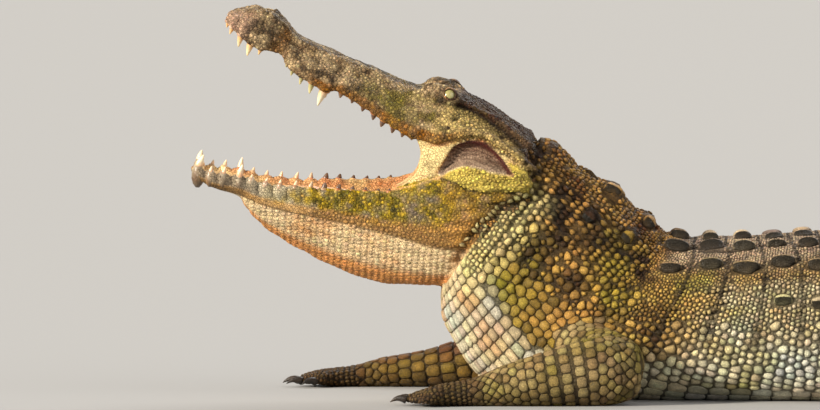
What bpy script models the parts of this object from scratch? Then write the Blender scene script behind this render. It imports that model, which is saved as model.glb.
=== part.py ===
"""A Nile crocodile at life size, lying on its belly with its head raised and its jaws wide open.

Metres, +Z up. It faces -X, its left side is towards -Y, and it lies on the plane z = 0. The origin is
on that plane, under the belly just behind the shoulders.
"""

import math

import bmesh
import bpy
from mathutils import Matrix, Vector

# ---------------------------------------------------------------- driving dimensions
JAW_JOINT = Vector((-0.246, 0.0, 0.304))  # middle of the hinge line between skull and lower jaw
SKULL_PITCH = 29.0  # degrees that the upper jaw points above the level
LOWER_JAW_PITCH = 4.0
HEAD_ROLL = 6.0  # the crown leans this far towards the left side

SKULL_TIP = 0.5142  # from the jaw joint to the end of the snout
LOWER_JAW_TIP = 0.5004
VENT = 0.92  # where the tail begins, measured along the back
TAIL_TIP = 2.67
GAP = 0.0003  # clearance between neighbouring pieces

EYE_RADIUS = 0.0138
EYE_PLACE = (0.177, 0.046, 0.0672)  # in the skull's frame: forward, sideways, up
ORBIT_PLACE = (0.175, 0.037, 0.0617)  # middle of the raised rim over an eye
ORBIT_SIZE = (0.042, 0.024, 0.0190)  # its half length, half width and half height

HIDE = ("hide", (0.36, 0.31, 0.20), 0.62)
GULAR = ("throat_hide", (0.72, 0.52, 0.36), 0.6)
FLESH = ("mouth_flesh", (0.86, 0.56, 0.40), 0.4)
KERATIN = ("claw", (0.12, 0.09, 0.07), 0.4)
EYEBALL = ("eye", (0.55, 0.55, 0.30), 0.1)


# ---------------------------------------------------------------- small tools
def mix(low, high, share):
    return low + (high - low) * share


def through(*knots):
    """A smooth function through (position, value) knots that never swings past them."""
    places = [place for place, _ in knots]
    values = [value for _, value in knots]
    rises = [
        (values[i + 1] - values[i]) / (places[i + 1] - places[i]) for i in range(len(knots) - 1)
    ]
    slopes = [rises[0]]
    for before, after in zip(rises, rises[1:]):
        slopes.append(2 * before * after / (before + after) if before * after > 0 else 0.0)
    slopes.append(rises[-1])

    def value_at(place):
        if place <= places[0]:
            return values[0]
        if place >= places[-1]:
            return values[-1]
        i = next(n for n in range(len(places) - 1) if place <= places[n + 1])
        width = places[i + 1] - places[i]
        t = (place - places[i]) / width
        return (
            values[i] * (1 + 2 * t) * (1 - t) ** 2
            + values[i + 1] * t * t * (3 - 2 * t)
            + slopes[i] * width * t * (1 - t) ** 2
            + slopes[i + 1] * width * t * t * (t - 1)
        )

    return value_at


def round_the_corners(corners, share):
    """The point at this share of the way round a closed smooth line through the corners."""
    count = len(corners)
    whole = share * count
    i = math.floor(whole + 1e-9)
    t = whole - i
    a, b, c, d = (Vector(corners[(i + k) % count]) for k in (-1, 0, 1, 2))
    return 0.5 * (
        2 * b + (c - a) * t + (2 * a - 5 * b + 4 * c - d) * t * t + (3 * b - a - 3 * c + d) * t**3
    )


def both_sides(half):
    """A closed outline from its left half, which runs from the middle line back to it."""
    return half + [(-across, up) for across, up in reversed(half[1:-1])]


def evenly(start, stop, count):
    return [mix(start, stop, i / (count - 1)) for i in range(count)]


# ---------------------------------------------------------------- neck, trunk and tail
# Each station is a cut across the body: its top (x, z), its underside (x, z) and its half width.
# The cuts fan out in the bent neck and stand upright from the shoulders back.
BODY_STATIONS = (
    ((-0.285, 0.348), (-0.345, 0.200), 0.075),
    ((-0.252, 0.374), (-0.381, 0.165), 0.107),
    ((-0.202, 0.355), (-0.380, 0.124), 0.126),
    ((-0.154, 0.322), (-0.363, 0.084), 0.136),
    ((-0.102, 0.283), (-0.338, 0.044), 0.147),
    ((-0.062, 0.250), (-0.298, 0.010), 0.158),
    ((-0.015, 0.235), (-0.190, -0.006), 0.173),
    ((0.058, 0.236), (-0.044, -0.012), 0.190),
    ((0.146, 0.241), (0.117, -0.014), 0.210),
    ((0.300, 0.252), (0.300, -0.014), 0.233),
    ((0.460, 0.254), (0.460, -0.014), 0.238),
    ((0.620, 0.245), (0.620, -0.013), 0.214),
    ((0.780, 0.226), (0.780, -0.012), 0.172),
    ((0.920, 0.203), (0.920, -0.010), 0.138),
    ((1.100, 0.182), (1.100, -0.008), 0.112),
    ((1.400, 0.158), (1.400, -0.006), 0.080),
    ((1.700, 0.132), (1.700, -0.005), 0.056),
    ((2.000, 0.108), (2.000, -0.004), 0.038),
    ((2.300, 0.082), (2.300, -0.003), 0.023),
    ((2.550, 0.050), (2.550, -0.002), 0.012),
    ((2.650, 0.026), (2.650, 0.001), 0.006),
)
TAIL_HEADING = through(  # how far the tail swings aside, in degrees, against its length
    (0.75, 0), (1.15, 13), (1.55, 25), (1.95, 10), (2.30, -16), (2.67, -36)
)
PLAN_STEP = 0.01
PLAN_LENGTH = 3.0
BODY_SIDES = 14  # facets round neck, trunk and tail


def body_lengths():
    """How far along the middle of the body each station lies, from the first."""
    lengths = [0.0]
    for (top, under, _), (next_top, next_under, _) in zip(BODY_STATIONS, BODY_STATIONS[1:]):
        along = (
            Vector(next_top) + Vector(next_under) - Vector(top) - Vector(under)
        ) / 2
        lengths.append(lengths[-1] + along.length)
    return lengths


LENGTHS = body_lengths()
TOP_X, TOP_Z, UNDER_X, UNDER_Z, HALF_WIDTH = (
    through(*zip(LENGTHS, [read(station) for station in BODY_STATIONS]))
    for read in (
        lambda s: s[0][0],
        lambda s: s[0][1],
        lambda s: s[1][0],
        lambda s: s[1][1],
        lambda s: s[2],
    )
)
STRAIGHT = LENGTHS[9] - BODY_STATIONS[9][0][0]  # from here back, length is x plus this


def plan_table():
    """The tail's line on the floor: a point and a heading every PLAN_STEP of straight x."""
    rows, x, y = [], 0.0, 0.0
    for i in range(round(PLAN_LENGTH / PLAN_STEP)):
        heading = math.radians(TAIL_HEADING(i * PLAN_STEP))
        rows.append((x, y, heading))
        x += math.cos(heading) * PLAN_STEP
        y += math.sin(heading) * PLAN_STEP
    return rows


PLAN = plan_table()


def on_plan(point):
    """Moves a point of the straight body to where the swung tail carries it."""
    if point.x <= 0:
        return point
    i = min(int(point.x / PLAN_STEP), len(PLAN) - 2)
    t = point.x / PLAN_STEP - i
    x, y, heading = (mix(a, b, t) for a, b in zip(PLAN[i], PLAN[i + 1]))
    return Vector(
        (x - point.y * math.sin(heading), y + point.y * math.cos(heading), point.z)
    )


BOXINESS = through((0.0, 2.15), (0.5, 2.4), (1.4, 2.3), (2.0, 2.0))  # of the cut, against length
SAG = 0.07  # the sides are wider below than above by this share


def body_point(length, share):
    """The hide at a length along the body and a share of the way round from the back."""
    top = Vector((TOP_X(length), 0, TOP_Z(length)))
    under = Vector((UNDER_X(length), 0, UNDER_Z(length)))
    angle = 2 * math.pi * share
    power = 2 / BOXINESS(length)
    across = math.copysign(abs(math.sin(angle)) ** power, math.sin(angle))
    up = math.copysign(abs(math.cos(angle)) ** power, math.cos(angle))
    sag = 1 - SAG * math.cos(angle)
    point = mix(under, top, (1 + up) / 2)
    point.y = HALF_WIDTH(length) * across * sag
    return on_plan(point)


# ---------------------------------------------------------------- the skull with its upper jaw
# In the skull's frame x runs forward from the jaw joint, y to the right and z up.
ROOF = through(
    (0.028, 0.058), (0.0406, 0.0676), (0.129, 0.077), (0.152, 0.075), (0.190, 0.064),
    (0.232, 0.0515), (0.272, 0.0478), (0.339, 0.039), (0.407, 0.0348), (0.425, 0.043),
    (0.446, 0.0468), (0.474, 0.0399), (0.497, 0.028), (0.5142, 0.009),
)
UPPER_LIP = through(
    (0.021, 0.035), (0.055, 0.044), (0.089, 0.0453), (0.118, 0.0364), (0.145, 0.012),
    (0.172, -0.0049), (0.228, -0.0111), (0.263, -0.0082), (0.315, -0.0054), (0.335, -0.0145),
    (0.347, -0.0147), (0.396, -0.0112), (0.414, -0.0015), (0.424, -0.003), (0.445, -0.0085),
    (0.484, -0.0047), (0.505, 0.000), (0.5142, 0.004),
)
UPPER_WIDTH = through(
    (-0.010, 0.080), (0.000, 0.108), (0.020, 0.117), (0.060, 0.117), (0.100, 0.108),
    (0.150, 0.096), (0.200, 0.080), (0.250, 0.066), (0.300, 0.0575), (0.335, 0.059),
    (0.360, 0.056), (0.390, 0.046), (0.415, 0.0385), (0.430, 0.040), (0.455, 0.0465),
    (0.475, 0.0465), (0.495, 0.040), (0.508, 0.025), (0.5142, 0.008),
)
ROOF_WIDTH = through(
    (0.028, 0.050), (0.041, 0.056), (0.129, 0.053), (0.160, 0.050), (0.190, 0.044),
    (0.232, 0.034), (0.280, 0.030), (0.340, 0.028), (0.400, 0.021), (0.425, 0.024),
    (0.450, 0.028), (0.475, 0.027), (0.497, 0.018), (0.5142, 0.004),
)
SKULL_REAR = 0.006
SKULL_SIDES = 16  # one facet for each corner of the section


def skull_section(x):
    width, roof, lip, table = UPPER_WIDTH(x), ROOF(x), UPPER_LIP(x), ROOF_WIDTH(x)
    height = roof - lip
    return both_sides([
        (0, lip + 0.10 * height),
        (0.60 * width, lip + 0.06 * height),
        (0.90 * width, lip),
        (width, lip + 0.15 * height),
        (mix(table, width, 0.93), lip + 0.40 * height),
        (mix(table, width, 0.46), lip + 0.70 * height),
        (1.06 * table, lip + 0.90 * height),
        (0.72 * table, lip + 1.00 * height),
        (0, roof),
    ])


# ---------------------------------------------------------------- the lower jaw and throat
# In the lower jaw's frame x runs forward from the jaw joint, y to the right and z up.
LOWER_LIP = through(
    (-0.012, 0.020), (0.019, 0.0358), (0.050, 0.0430), (0.079, 0.0445), (0.110, 0.033),
    (0.136, 0.0184), (0.178, -0.0011), (0.222, -0.0114), (0.280, -0.0135), (0.339, -0.0156),
    (0.395, -0.0132), (0.428, -0.0056), (0.469, -0.0042), (0.490, 0.0005), (0.5004, -0.002),
)
JAW_BONE = through(
    (-0.012, -0.015), (0.028, -0.0555), (0.070, -0.0794), (0.128, -0.0836), (0.188, -0.0745),
    (0.262, -0.0635), (0.336, -0.0555), (0.395, -0.0461), (0.428, -0.0347), (0.460, -0.028),
    (0.486, -0.0191), (0.5004, -0.009),
)
THROAT = through(
    (-0.012, -0.030), (0.050, -0.125), (0.100, -0.147), (0.146, -0.1525), (0.198, -0.1546),
    (0.242, -0.1474), (0.279, -0.1366), (0.317, -0.1215), (0.355, -0.1034), (0.386, -0.0848),
    (0.409, -0.0641), (0.428, -0.0410), (0.460, -0.031), (0.486, -0.0195), (0.5004, -0.0095),
)
LOWER_WIDTH = through(
    (-0.012, 0.085), (0.000, 0.105), (0.020, 0.114), (0.060, 0.117), (0.100, 0.110),
    (0.150, 0.096), (0.200, 0.079), (0.250, 0.064), (0.300, 0.054), (0.350, 0.048),
    (0.400, 0.041), (0.430, 0.0385), (0.460, 0.038), (0.482, 0.031), (0.494, 0.019),
    (0.5004, 0.006),
)
MOUTH_FLOOR = through((0.0, 0.0), (0.14, 0.020))  # its depth below the lips
LOWER_JAW_REAR = -0.012
JAW_SIDES = 20


def lower_jaw_section(x):
    width, lip, bone, throat = LOWER_WIDTH(x), LOWER_LIP(x), JAW_BONE(x), THROAT(x)
    floor = min(MOUTH_FLOOR(x), 0.3 * (lip - bone))
    return both_sides([
        (0, lip - floor),
        (0.60 * width, lip - 0.95 * floor),
        (0.78 * width, lip - 0.25 * floor),
        (0.90 * width, lip),
        (width, mix(lip, bone, 0.20)),
        (1.01 * width, mix(lip, bone, 0.60)),
        (0.94 * width, mix(lip, bone, 0.95)),
        (0.84 * width, mix(bone, throat, 0.12)),
        (0.64 * width, mix(bone, throat, 0.62)),
        (0.34 * width, mix(bone, throat, 0.93)),
        (0, throat),
    ])


def jaw_frame(pitch):
    """Takes points of a jaw's own frame to the world."""
    tilt, roll = math.radians(pitch), math.radians(HEAD_ROLL)
    forward = Vector((-math.cos(tilt), 0, math.sin(tilt)))
    up = Vector((math.sin(tilt), 0, math.cos(tilt)))
    side = Vector((0, 1, 0))
    leaning_up = math.cos(roll) * up - math.sin(roll) * side
    leaning_side = math.cos(roll) * side + math.sin(roll) * up
    frame = Matrix((forward, leaning_side, leaning_up)).transposed().to_4x4()
    frame.translation = JAW_JOINT
    return frame


SKULL_FRAME = jaw_frame(SKULL_PITCH)
LOWER_FRAME = jaw_frame(LOWER_JAW_PITCH)


def sectioned(section, frame):
    """A surface whose cut at each x is a closed section of (sideways, up) corners."""

    def point_at(x, share):
        across, up = round_the_corners(section(x), share)
        return frame @ Vector((x, across, up))

    return point_at


# ---------------------------------------------------------------- solids from surfaces
def wrapped(name, point_at, along, around):
    """A closed solid: a grid wrapped once round the surface, its ends drawn to a point each."""
    bm = bmesh.new()
    bmesh.ops.create_grid(bm, x_segments=len(along) + 1, y_segments=around, size=1)
    bm.verts.ensure_lookup_table()
    rings = [[point_at(place, i / around) for i in range(around)] for place in along]
    tips = [sum(ring, Vector()) / around for ring in (rings[0], rings[-1])]
    rings = [[tips[0]] * around, *rings, [tips[1]] * around]
    columns = len(along) + 2
    for i, vertex in enumerate(bm.verts):
        vertex.co = rings[i % columns][(i // columns) % around]
    bmesh.ops.remove_doubles(bm, verts=bm.verts, dist=1e-6)
    return finished(name, bm)


def finished(name, bm):
    """An object of triangles from a bmesh, with its faces turned outwards."""
    bmesh.ops.triangulate(bm, faces=bm.faces)
    bmesh.ops.recalc_face_normals(bm, faces=bm.faces)
    if bm.calc_volume(signed=True) < 0:
        bmesh.ops.reverse_faces(bm, faces=bm.faces)
    mesh = bpy.data.meshes.new(name)
    bm.to_mesh(mesh)
    bm.free()
    made = bpy.data.objects.new(name, mesh)
    bpy.context.scene.collection.objects.link(made)
    return made


def combined(target, other, operation):
    """Applies one Boolean to the target and removes the other object."""
    step = target.modifiers.new(operation.lower(), "BOOLEAN")
    step.operation, step.object = operation, other
    bpy.context.view_layer.update()
    graph = bpy.context.evaluated_depsgraph_get()
    mesh = bpy.data.meshes.new_from_object(target.evaluated_get(graph))
    target.modifiers.clear()
    target.data = mesh
    bpy.data.objects.remove(other)
    return target


def joined(target, *others):
    for other in others:
        combined(target, other, "UNION")
    return target


def swollen(source, amount):
    """A copy with its surface moved outwards, for cutting a clearance."""
    bm = bmesh.new()
    bm.from_mesh(source.data)
    bmesh.ops.remove_doubles(bm, verts=bm.verts, dist=1e-6)
    bm.normal_update()
    moves = [vertex.normal * amount * vertex.calc_shell_factor() for vertex in bm.verts]
    for vertex, move in zip(bm.verts, moves):
        vertex.co += move
    return finished("swollen_" + source.name, bm)


def clear_of(target, *forms, gap=GAP):
    """Cuts the target back to leave a gap to each plain form, and keeps its largest body."""
    for form in forms:
        combined(target, swollen(form, gap), "DIFFERENCE")
    return largest_body(target)


def copied(source):
    """A plain form kept aside, for others to be cut back from."""
    bm = bmesh.new()
    bm.from_mesh(source.data)
    return finished("form_of_" + source.name, bm)


def largest_body(target):
    bm = bmesh.new()
    bm.from_mesh(target.data)
    left, bodies = set(bm.verts), []
    while left:
        body, edge = set(), [left.pop()]
        while edge:
            vertex = edge.pop()
            body.add(vertex)
            near = {e.other_vert(vertex) for e in vertex.link_edges} & left
            left -= near
            edge.extend(near)
        bodies.append(body)
    bodies.sort(key=len)
    crumbs = [vertex for body in bodies[:-1] for vertex in body]
    bmesh.ops.delete(bm, geom=crumbs, context="VERTS")
    bm.to_mesh(target.data)
    bm.free()
    return target


def cut_plane(length):
    """The plane across the body at a length along it: (point, normal towards the tail)."""
    top = on_plan(Vector((TOP_X(length), 0, TOP_Z(length))))
    under = on_plan(Vector((UNDER_X(length), 0, UNDER_Z(length))))
    side = on_plan(Vector((TOP_X(length), 0.1, TOP_Z(length)))) - top
    normal = side.cross(top - under).normalized()
    return (top + under) / 2, normal


def keep_behind(bm, point, outwards):
    """Cuts off all that lies beyond a plane and closes the cut with a flat."""
    bmesh.ops.bisect_plane(
        bm,
        geom=bm.verts[:] + bm.edges[:] + bm.faces[:],
        plane_co=point,
        plane_no=outwards,
        clear_outer=True,
    )
    bmesh.ops.holes_fill(bm, edges=[edge for edge in bm.edges if edge.is_boundary])


def rested(piece):
    """Presses a piece flat where it would sink below the floor."""
    bm = bmesh.new()
    bm.from_mesh(piece.data)
    keep_behind(bm, Vector(), Vector((0, 0, -1)))
    bmesh.ops.triangulate(bm, faces=bm.faces)
    bm.to_mesh(piece.data)
    bm.free()
    return piece


def length_of_body(source, name, start=None, stop=None):
    """The stretch of the source between two lengths, closed across its cut ends."""
    bm = bmesh.new()
    bm.from_mesh(source.data)
    for length, towards_tail in ((start, False), (stop, True)):
        if length is not None:
            point, normal = cut_plane(length)
            outwards = normal if towards_tail else -normal
            keep_behind(bm, point - outwards * GAP / 2, outwards)
    return rested(finished(name, bm))


# ---------------------------------------------------------------- crests of the tail and neck
WHORL_PITCH = (0.052, 0.036)  # at the root of the tail and at its tip


def whorls():
    """The lengths at which the tail's rings of scutes begin."""
    places = [STRAIGHT + VENT]
    while places[-1] < STRAIGHT + TAIL_TIP - 0.07:
        share = (places[-1] - STRAIGHT - VENT) / (TAIL_TIP - VENT)
        places.append(places[-1] + mix(*WHORL_PITCH, share))
    return places


WHORLS = whorls()
CREST_JOINS = 19  # the ring at which the two rows of the crest meet in one
CREST_HEIGHT = through((0, 0.008), (8, 0.020), (CREST_JOINS, 0.036), (28, 0.036), (38, 0.012))
CREST_SHARE = through((0, 0.075), (10, 0.062), (CREST_JOINS - 1, 0.030))  # of the way round
CREST_START = 4  # the first ring that carries blades
BLADE_FOOT = (0.10, 0.86)  # where a blade begins and ends, as shares of its ring
BLADE_TIP = 0.82  # its tip, as a share of its foot
BLADE_LEAN = 0.25  # how far the two rows lean apart, against their height


def crest_blade(index, side):
    """One upright triangular scute of the tail's crest; side is 0 in the single row."""
    start, stop = WHORLS[index], WHORLS[index + 1]
    share = side * CREST_SHARE(index) if side else 0.0
    height = CREST_HEIGHT(index)
    front, back = (body_point(mix(start, stop, place), share % 1) for place in BLADE_FOOT)
    along = back - front
    across = along.cross(Vector((0, 0, 1))).normalized()
    half_thickness = across * (0.10 * along.length + 0.0015)
    sunk = Vector((0, 0, -0.006 - 0.10 * height))
    lean = Vector((0, 0, height)) - across * side * BLADE_LEAN * height
    middle = mix(front, back, 0.5)
    corners = [
        front + sunk,
        middle + half_thickness + sunk,
        back + sunk,
        middle - half_thickness + sunk,
        mix(front, back, BLADE_TIP) + lean,
    ]
    bm = bmesh.new()
    bmesh.ops.convex_hull(bm, input=[bm.verts.new(corner) for corner in corners])
    return finished(f"blade_{index}_{side}", bm)


def together(name, pieces):
    """One object that holds several separate pieces, for a single Boolean."""
    bm = bmesh.new()
    for piece in pieces:
        bm.from_mesh(piece.data)
        bpy.data.objects.remove(piece)
    return finished(name, bm)


NUCHAL_BOSSES = (  # length, share of the way round, half length, half width, height
    (0.055, 0.040, 0.016, 0.016, 0.009),
    (0.105, 0.045, 0.026, 0.024, 0.013),
    (0.115, 0.115, 0.024, 0.022, 0.012),
    (0.170, 0.040, 0.028, 0.024, 0.014),
)


BOSS_SIDES = 5
BOSS_KEEL = (-0.15, 0.55)  # its ends, from the middle, as shares of the half length
BOSS_ROOT = 0.010


def boss(length, share, half_length, half_width, height):
    """A low keeled shield standing on the neck, highest towards its back."""
    ahead = body_point(length - half_length, share % 1)
    behind = body_point(length + half_length, share % 1)
    middle = body_point(length, share % 1)
    beside = body_point(length, (share + 0.01) % 1) - middle
    along = (behind - ahead).normalized()
    out = along.cross(beside).normalized()
    out = out if out.z > 0 else -out
    across = out.cross(along)
    turns = [math.tau * i / BOSS_SIDES for i in range(BOSS_SIDES)]
    corners = [
        middle
        - out * BOSS_ROOT
        + along * half_length * math.cos(turn)
        + across * half_width * math.sin(turn)
        for turn in turns
    ]
    corners += [middle + along * half_length * t + out * height for t in BOSS_KEEL]
    bm = bmesh.new()
    bmesh.ops.convex_hull(bm, input=[bm.verts.new(corner) for corner in corners])
    return finished("boss", bm)


# ---------------------------------------------------------------- teeth
# Each row runs back from the snout: (x in the jaw's frame, length). Each stands by the lip.
UPPER_TEETH = (
    (0.507, 0.009), (0.497, 0.011), (0.481, 0.021), (0.463, 0.024), (0.446, 0.010),
    (0.403, 0.007), (0.390, 0.010), (0.374, 0.014), (0.357, 0.018), (0.336, 0.027),
    (0.313, 0.012), (0.293, 0.008), (0.274, 0.010), (0.256, 0.012), (0.239, 0.013),
    (0.222, 0.012), (0.206, 0.010), (0.191, 0.008),
)
LOWER_TEETH = (
    (0.488, 0.030), (0.472, 0.010), (0.455, 0.012), (0.428, 0.019), (0.410, 0.009),
    (0.389, 0.009), (0.368, 0.010), (0.346, 0.011), (0.324, 0.012), (0.303, 0.015),
    (0.283, 0.012), (0.262, 0.010), (0.243, 0.009), (0.225, 0.008), (0.208, 0.007),
)
TOOTH_RADIUS = (0.0018, 0.216)  # at the root: a fixed part and a share of the length
TOOTH_ROOT = 0.006
TOOTH_SPLAY = 0.12  # radians that a tooth leans outwards
TOOTH_TURN = 0.4  # radians that its facets are turned about its own line
BIG_TOOTH = 0.0125  # a tooth longer than this has four facets, a shorter one three


def tooth(x, length, side, width_at, lip_at, frame, down):
    """A faceted cone rooted in the jaw's edge; down is -1 in the skull and +1 below."""
    radius = TOOTH_RADIUS[0] + TOOTH_RADIUS[1] * length
    bm = bmesh.new()
    bmesh.ops.create_cone(
        bm,
        cap_ends=True,
        segments=4 if length > BIG_TOOTH else 3,
        radius1=radius,
        radius2=0,
        depth=length + TOOTH_ROOT,
    )
    inset = min(0.9 * width_at(x), width_at(x) - radius * 0.8)
    splay = Matrix.Rotation(-side * down * TOOTH_SPLAY, 4, "X")
    place = Matrix.Translation((x, side * inset, lip_at(x) + down * (length - TOOTH_ROOT) / 2))
    turn = Matrix.Rotation(0 if down > 0 else math.pi, 4, "X") @ Matrix.Rotation(TOOTH_TURN, 4, "Z")
    bmesh.ops.transform(bm, matrix=frame @ place @ splay @ turn, verts=bm.verts)
    return finished("tooth", bm)


def tooth_rows(name, teeth, width_at, lip_at, frame, down):
    return together(name, [
        tooth(x, length, side, width_at, lip_at, frame, down)
        for x, length in teeth
        for side in (-1, 1)
    ])


# ---------------------------------------------------------------- limbs
# Each limb piece is a list of (x, y, z, half width, half height) down its middle, on the left side.
# y is counted outwards, so the same numbers serve both sides.
LEFT_ARM = {
    "upper_arm": ((-0.205, 0.085, 0.105, 0.046, 0.052), (-0.168, 0.165, 0.072, 0.046, 0.046),
                  (-0.138, 0.212, 0.058, 0.044, 0.050), (-0.112, 0.236, 0.052, 0.036, 0.044)),
    "forearm": ((-0.105, 0.238, 0.050, 0.034, 0.044), (-0.150, 0.245, 0.049, 0.041, 0.052),
                (-0.235, 0.250, 0.037, 0.039, 0.040), (-0.293, 0.250, 0.027, 0.032, 0.030),
                (-0.325, 0.250, 0.020, 0.027, 0.023)),
    "hand": ((-0.322, 0.250, 0.019, 0.026, 0.021), (-0.350, 0.251, 0.018, 0.032, 0.020),
             (-0.385, 0.252, 0.015, 0.036, 0.017)),
}
RIGHT_ARM = {
    "upper_arm": ((-0.170, 0.085, 0.105, 0.046, 0.052), (-0.215, 0.165, 0.075, 0.046, 0.048),
                  (-0.258, 0.212, 0.058, 0.042, 0.048), (-0.285, 0.232, 0.050, 0.038, 0.044)),
    "forearm": ((-0.278, 0.232, 0.047, 0.036, 0.044), (-0.335, 0.240, 0.037, 0.040, 0.039),
                (-0.400, 0.244, 0.027, 0.036, 0.029), (-0.455, 0.247, 0.022, 0.031, 0.024),
                (-0.487, 0.248, 0.018, 0.027, 0.020)),
    "hand": ((-0.484, 0.248, 0.017, 0.026, 0.019), (-0.512, 0.249, 0.015, 0.032, 0.017),
             (-0.545, 0.250, 0.013, 0.036, 0.015)),
}
LEG = {
    "thigh": ((0.775, 0.080, 0.125, 0.066, 0.076), (0.715, 0.175, 0.105, 0.060, 0.068),
              (0.655, 0.248, 0.076, 0.050, 0.056), (0.622, 0.278, 0.062, 0.042, 0.048)),
    "shank": ((0.620, 0.282, 0.054, 0.036, 0.044), (0.668, 0.306, 0.048, 0.042, 0.047),
              (0.735, 0.330, 0.036, 0.037, 0.038), (0.795, 0.345, 0.026, 0.029, 0.029)),
    "foot": ((0.812, 0.352, 0.020, 0.022, 0.022), (0.775, 0.395, 0.018, 0.031, 0.020),
             (0.735, 0.430, 0.015, 0.039, 0.017), (0.700, 0.455, 0.013, 0.043, 0.015)),
}
FINGERS = (  # spread from the hand's line in degrees, length, start across the palm
    (34, 0.040, -0.80), (15, 0.056, -0.42), (2, 0.060, 0.0), (-14, 0.056, 0.42), (-32, 0.044, 0.80),
)
TOES = ((24, 0.058, -0.75), (9, 0.078, -0.28), (-6, 0.082, 0.25), (-22, 0.066, 0.75))
FINGER_RADIUS = 0.0115
DIGIT_LINE = (  # from the root: share of the length, thickness, height of the middle
    (0.0, 1.12, 0.0150), (0.40, 1.02, 0.0155), (0.72, 1.0, 0.0120), (1.0, 0.72, 0.0088),
)
DIGIT_BURIED = 0.012  # how far a digit begins inside the palm
CLAWED = 3  # the inner digits carry claws
CLAW_LENGTH = 0.024
CLAW_RADII = (0.0062, 0.0012)
CLAW_SUNK = 0.002
END_SHARE = 0.12  # how much of a limb's length each rounded end adds
LIMB_SIDES, PALM_SIDES, DIGIT_SIDES = 8, 8, 4
SIDES = {"left": -1, "right": 1}


def limb_line(stations, side):
    """Functions of a share 0 to 1 of the limb: its middle, half width and half height."""
    shares = [i / (len(stations) - 1) for i in range(len(stations))]
    x, y, z, width, height = (through(*zip(shares, column)) for column in zip(*stations))
    return (lambda t: Vector((x(t), side * y(t), z(t)))), width, height


def limb_point(stations, side):
    """The surface of a limb piece, with rounded ends just past its first and last station."""
    middle, width, height = limb_line(stations, side)

    def point_at(t, share):
        inner = min(max(t, 0.0), 1.0)
        ahead = (middle(min(inner + 0.02, 1)) - middle(max(inner - 0.02, 0))).normalized()
        across = ahead.cross(Vector((0, 0, 1))).normalized()
        up = across.cross(ahead)
        past = min(abs(t - inner) / END_SHARE, 1.0)
        shrink = math.sqrt(1 - 0.999 * past**2)
        angle = 2 * math.pi * share
        reach = math.copysign(past, t - inner) * 0.55 * width(inner)
        return (
            middle(inner)
            + ahead * reach
            + across * math.sin(angle) * width(inner) * shrink
            + up * math.cos(angle) * height(inner) * shrink
        )

    return point_at


def limb_piece(name, stations, side, count=4, around=LIMB_SIDES):
    """One piece of a limb, rounded at both ends."""
    near_end = (-0.97 * END_SHARE, -0.6 * END_SHARE)
    far_end = (1 + 0.6 * END_SHARE, 1 + 0.97 * END_SHARE)
    along = [*near_end, *evenly(0, 1, count), *far_end]
    return wrapped(name, limb_point(stations, side), along, around)


def digit_piece(name, line):
    """A finger or toe: its root is buried in the palm, its tip is blunt."""
    along = (0, 0.5, 1 + 0.3 * END_SHARE)
    return wrapped(name, limb_point(line, 1), along, DIGIT_SIDES)


def digit_lines(stations, digits, side):
    """For each digit, its middle line as stations, from inside the palm to its tip."""
    middle, width, _ = limb_line(stations, side)
    end = middle(1.0)
    heading = (end - middle(0.8)).normalized()
    heading.z = 0
    inward = Vector((0, -side, 0))
    inward = (inward - heading * inward.dot(heading)).normalized()
    lines = []
    for spread, length, across in digits:
        turn = math.radians(spread)
        ahead = heading * math.cos(turn) + inward * math.sin(turn)
        root = end - inward * across * width(1.0) * 0.75 - heading * DIGIT_BURIED
        lines.append([
            (*(root + ahead * length * t).xy, rise, FINGER_RADIUS * thick, FINGER_RADIUS * thick)
            for t, thick, rise in DIGIT_LINE
        ])
    return lines


def claw(name, line):
    """A short curved cone set in the end of a digit."""
    tip, before = Vector(line[-1][:3]), Vector(line[-2][:3])
    ahead = (tip - before).normalized()
    across = ahead.cross(Vector((0, 0, 1))).normalized()
    up = across.cross(ahead)
    bm = bmesh.new()
    bmesh.ops.create_cone(
        bm,
        cap_ends=True,
        segments=4,
        radius1=CLAW_RADII[0],
        radius2=CLAW_RADII[1],
        depth=CLAW_LENGTH,
    )
    bmesh.ops.bisect_plane(
        bm, geom=bm.verts[:] + bm.edges[:] + bm.faces[:], plane_co=(0, 0, 0), plane_no=(0, 0, 1)
    )
    for vertex in bm.verts:
        share = vertex.co.z / CLAW_LENGTH + 0.5
        vertex.co = (
            tip
            + ahead * (share * CLAW_LENGTH - CLAW_SUNK)
            + across * vertex.co.x
            + up * (vertex.co.y + 0.0025 * math.sin(math.pi * share) - 0.004 * share)
        )
    return rested(finished(name, bm))


def extremity(name, stations, digits, side, side_name):
    """A hand or foot with its digits joined on, and its claws as pieces of their own."""
    palm = limb_piece(name, stations, side, count=3, around=PALM_SIDES)
    lines = digit_lines(stations, digits, side)
    for i, line in enumerate(lines):
        joined(palm, digit_piece(f"digit_{i}", line))
    kind = "finger" if name.startswith("hand") else "toe"
    claws = [claw(f"claw_{kind}_{i + 1}_{side_name}", lines[i]) for i in range(CLAWED)]
    clear_of(palm, *claws)
    return palm, claws


def painted(pieces, finish):
    """Gives the pieces a Principled material of a colour and a roughness."""
    name, colour, roughness = finish
    material = bpy.data.materials.get(name) or bpy.data.materials.new(name)
    material.use_nodes = True
    shader = material.node_tree.nodes["Principled BSDF"]
    shader.inputs["Base Color"].default_value = (*colour, 1)
    shader.inputs["Roughness"].default_value = roughness
    for piece in pieces:
        piece.data.materials.clear()
        piece.data.materials.append(material)
        piece.data.shade_smooth()
        piece.data.set_sharp_from_angle(angle=math.radians(40))


# ---------------------------------------------------------------- the animal's parts
def make_eye(name, side):
    bm = bmesh.new()
    bmesh.ops.create_uvsphere(bm, u_segments=10, v_segments=6, radius=EYE_RADIUS)
    forward, across, up = EYE_PLACE
    bmesh.ops.translate(bm, verts=bm.verts, vec=SKULL_FRAME @ Vector((forward, side * across, up)))
    return finished(name, bm)


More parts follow.
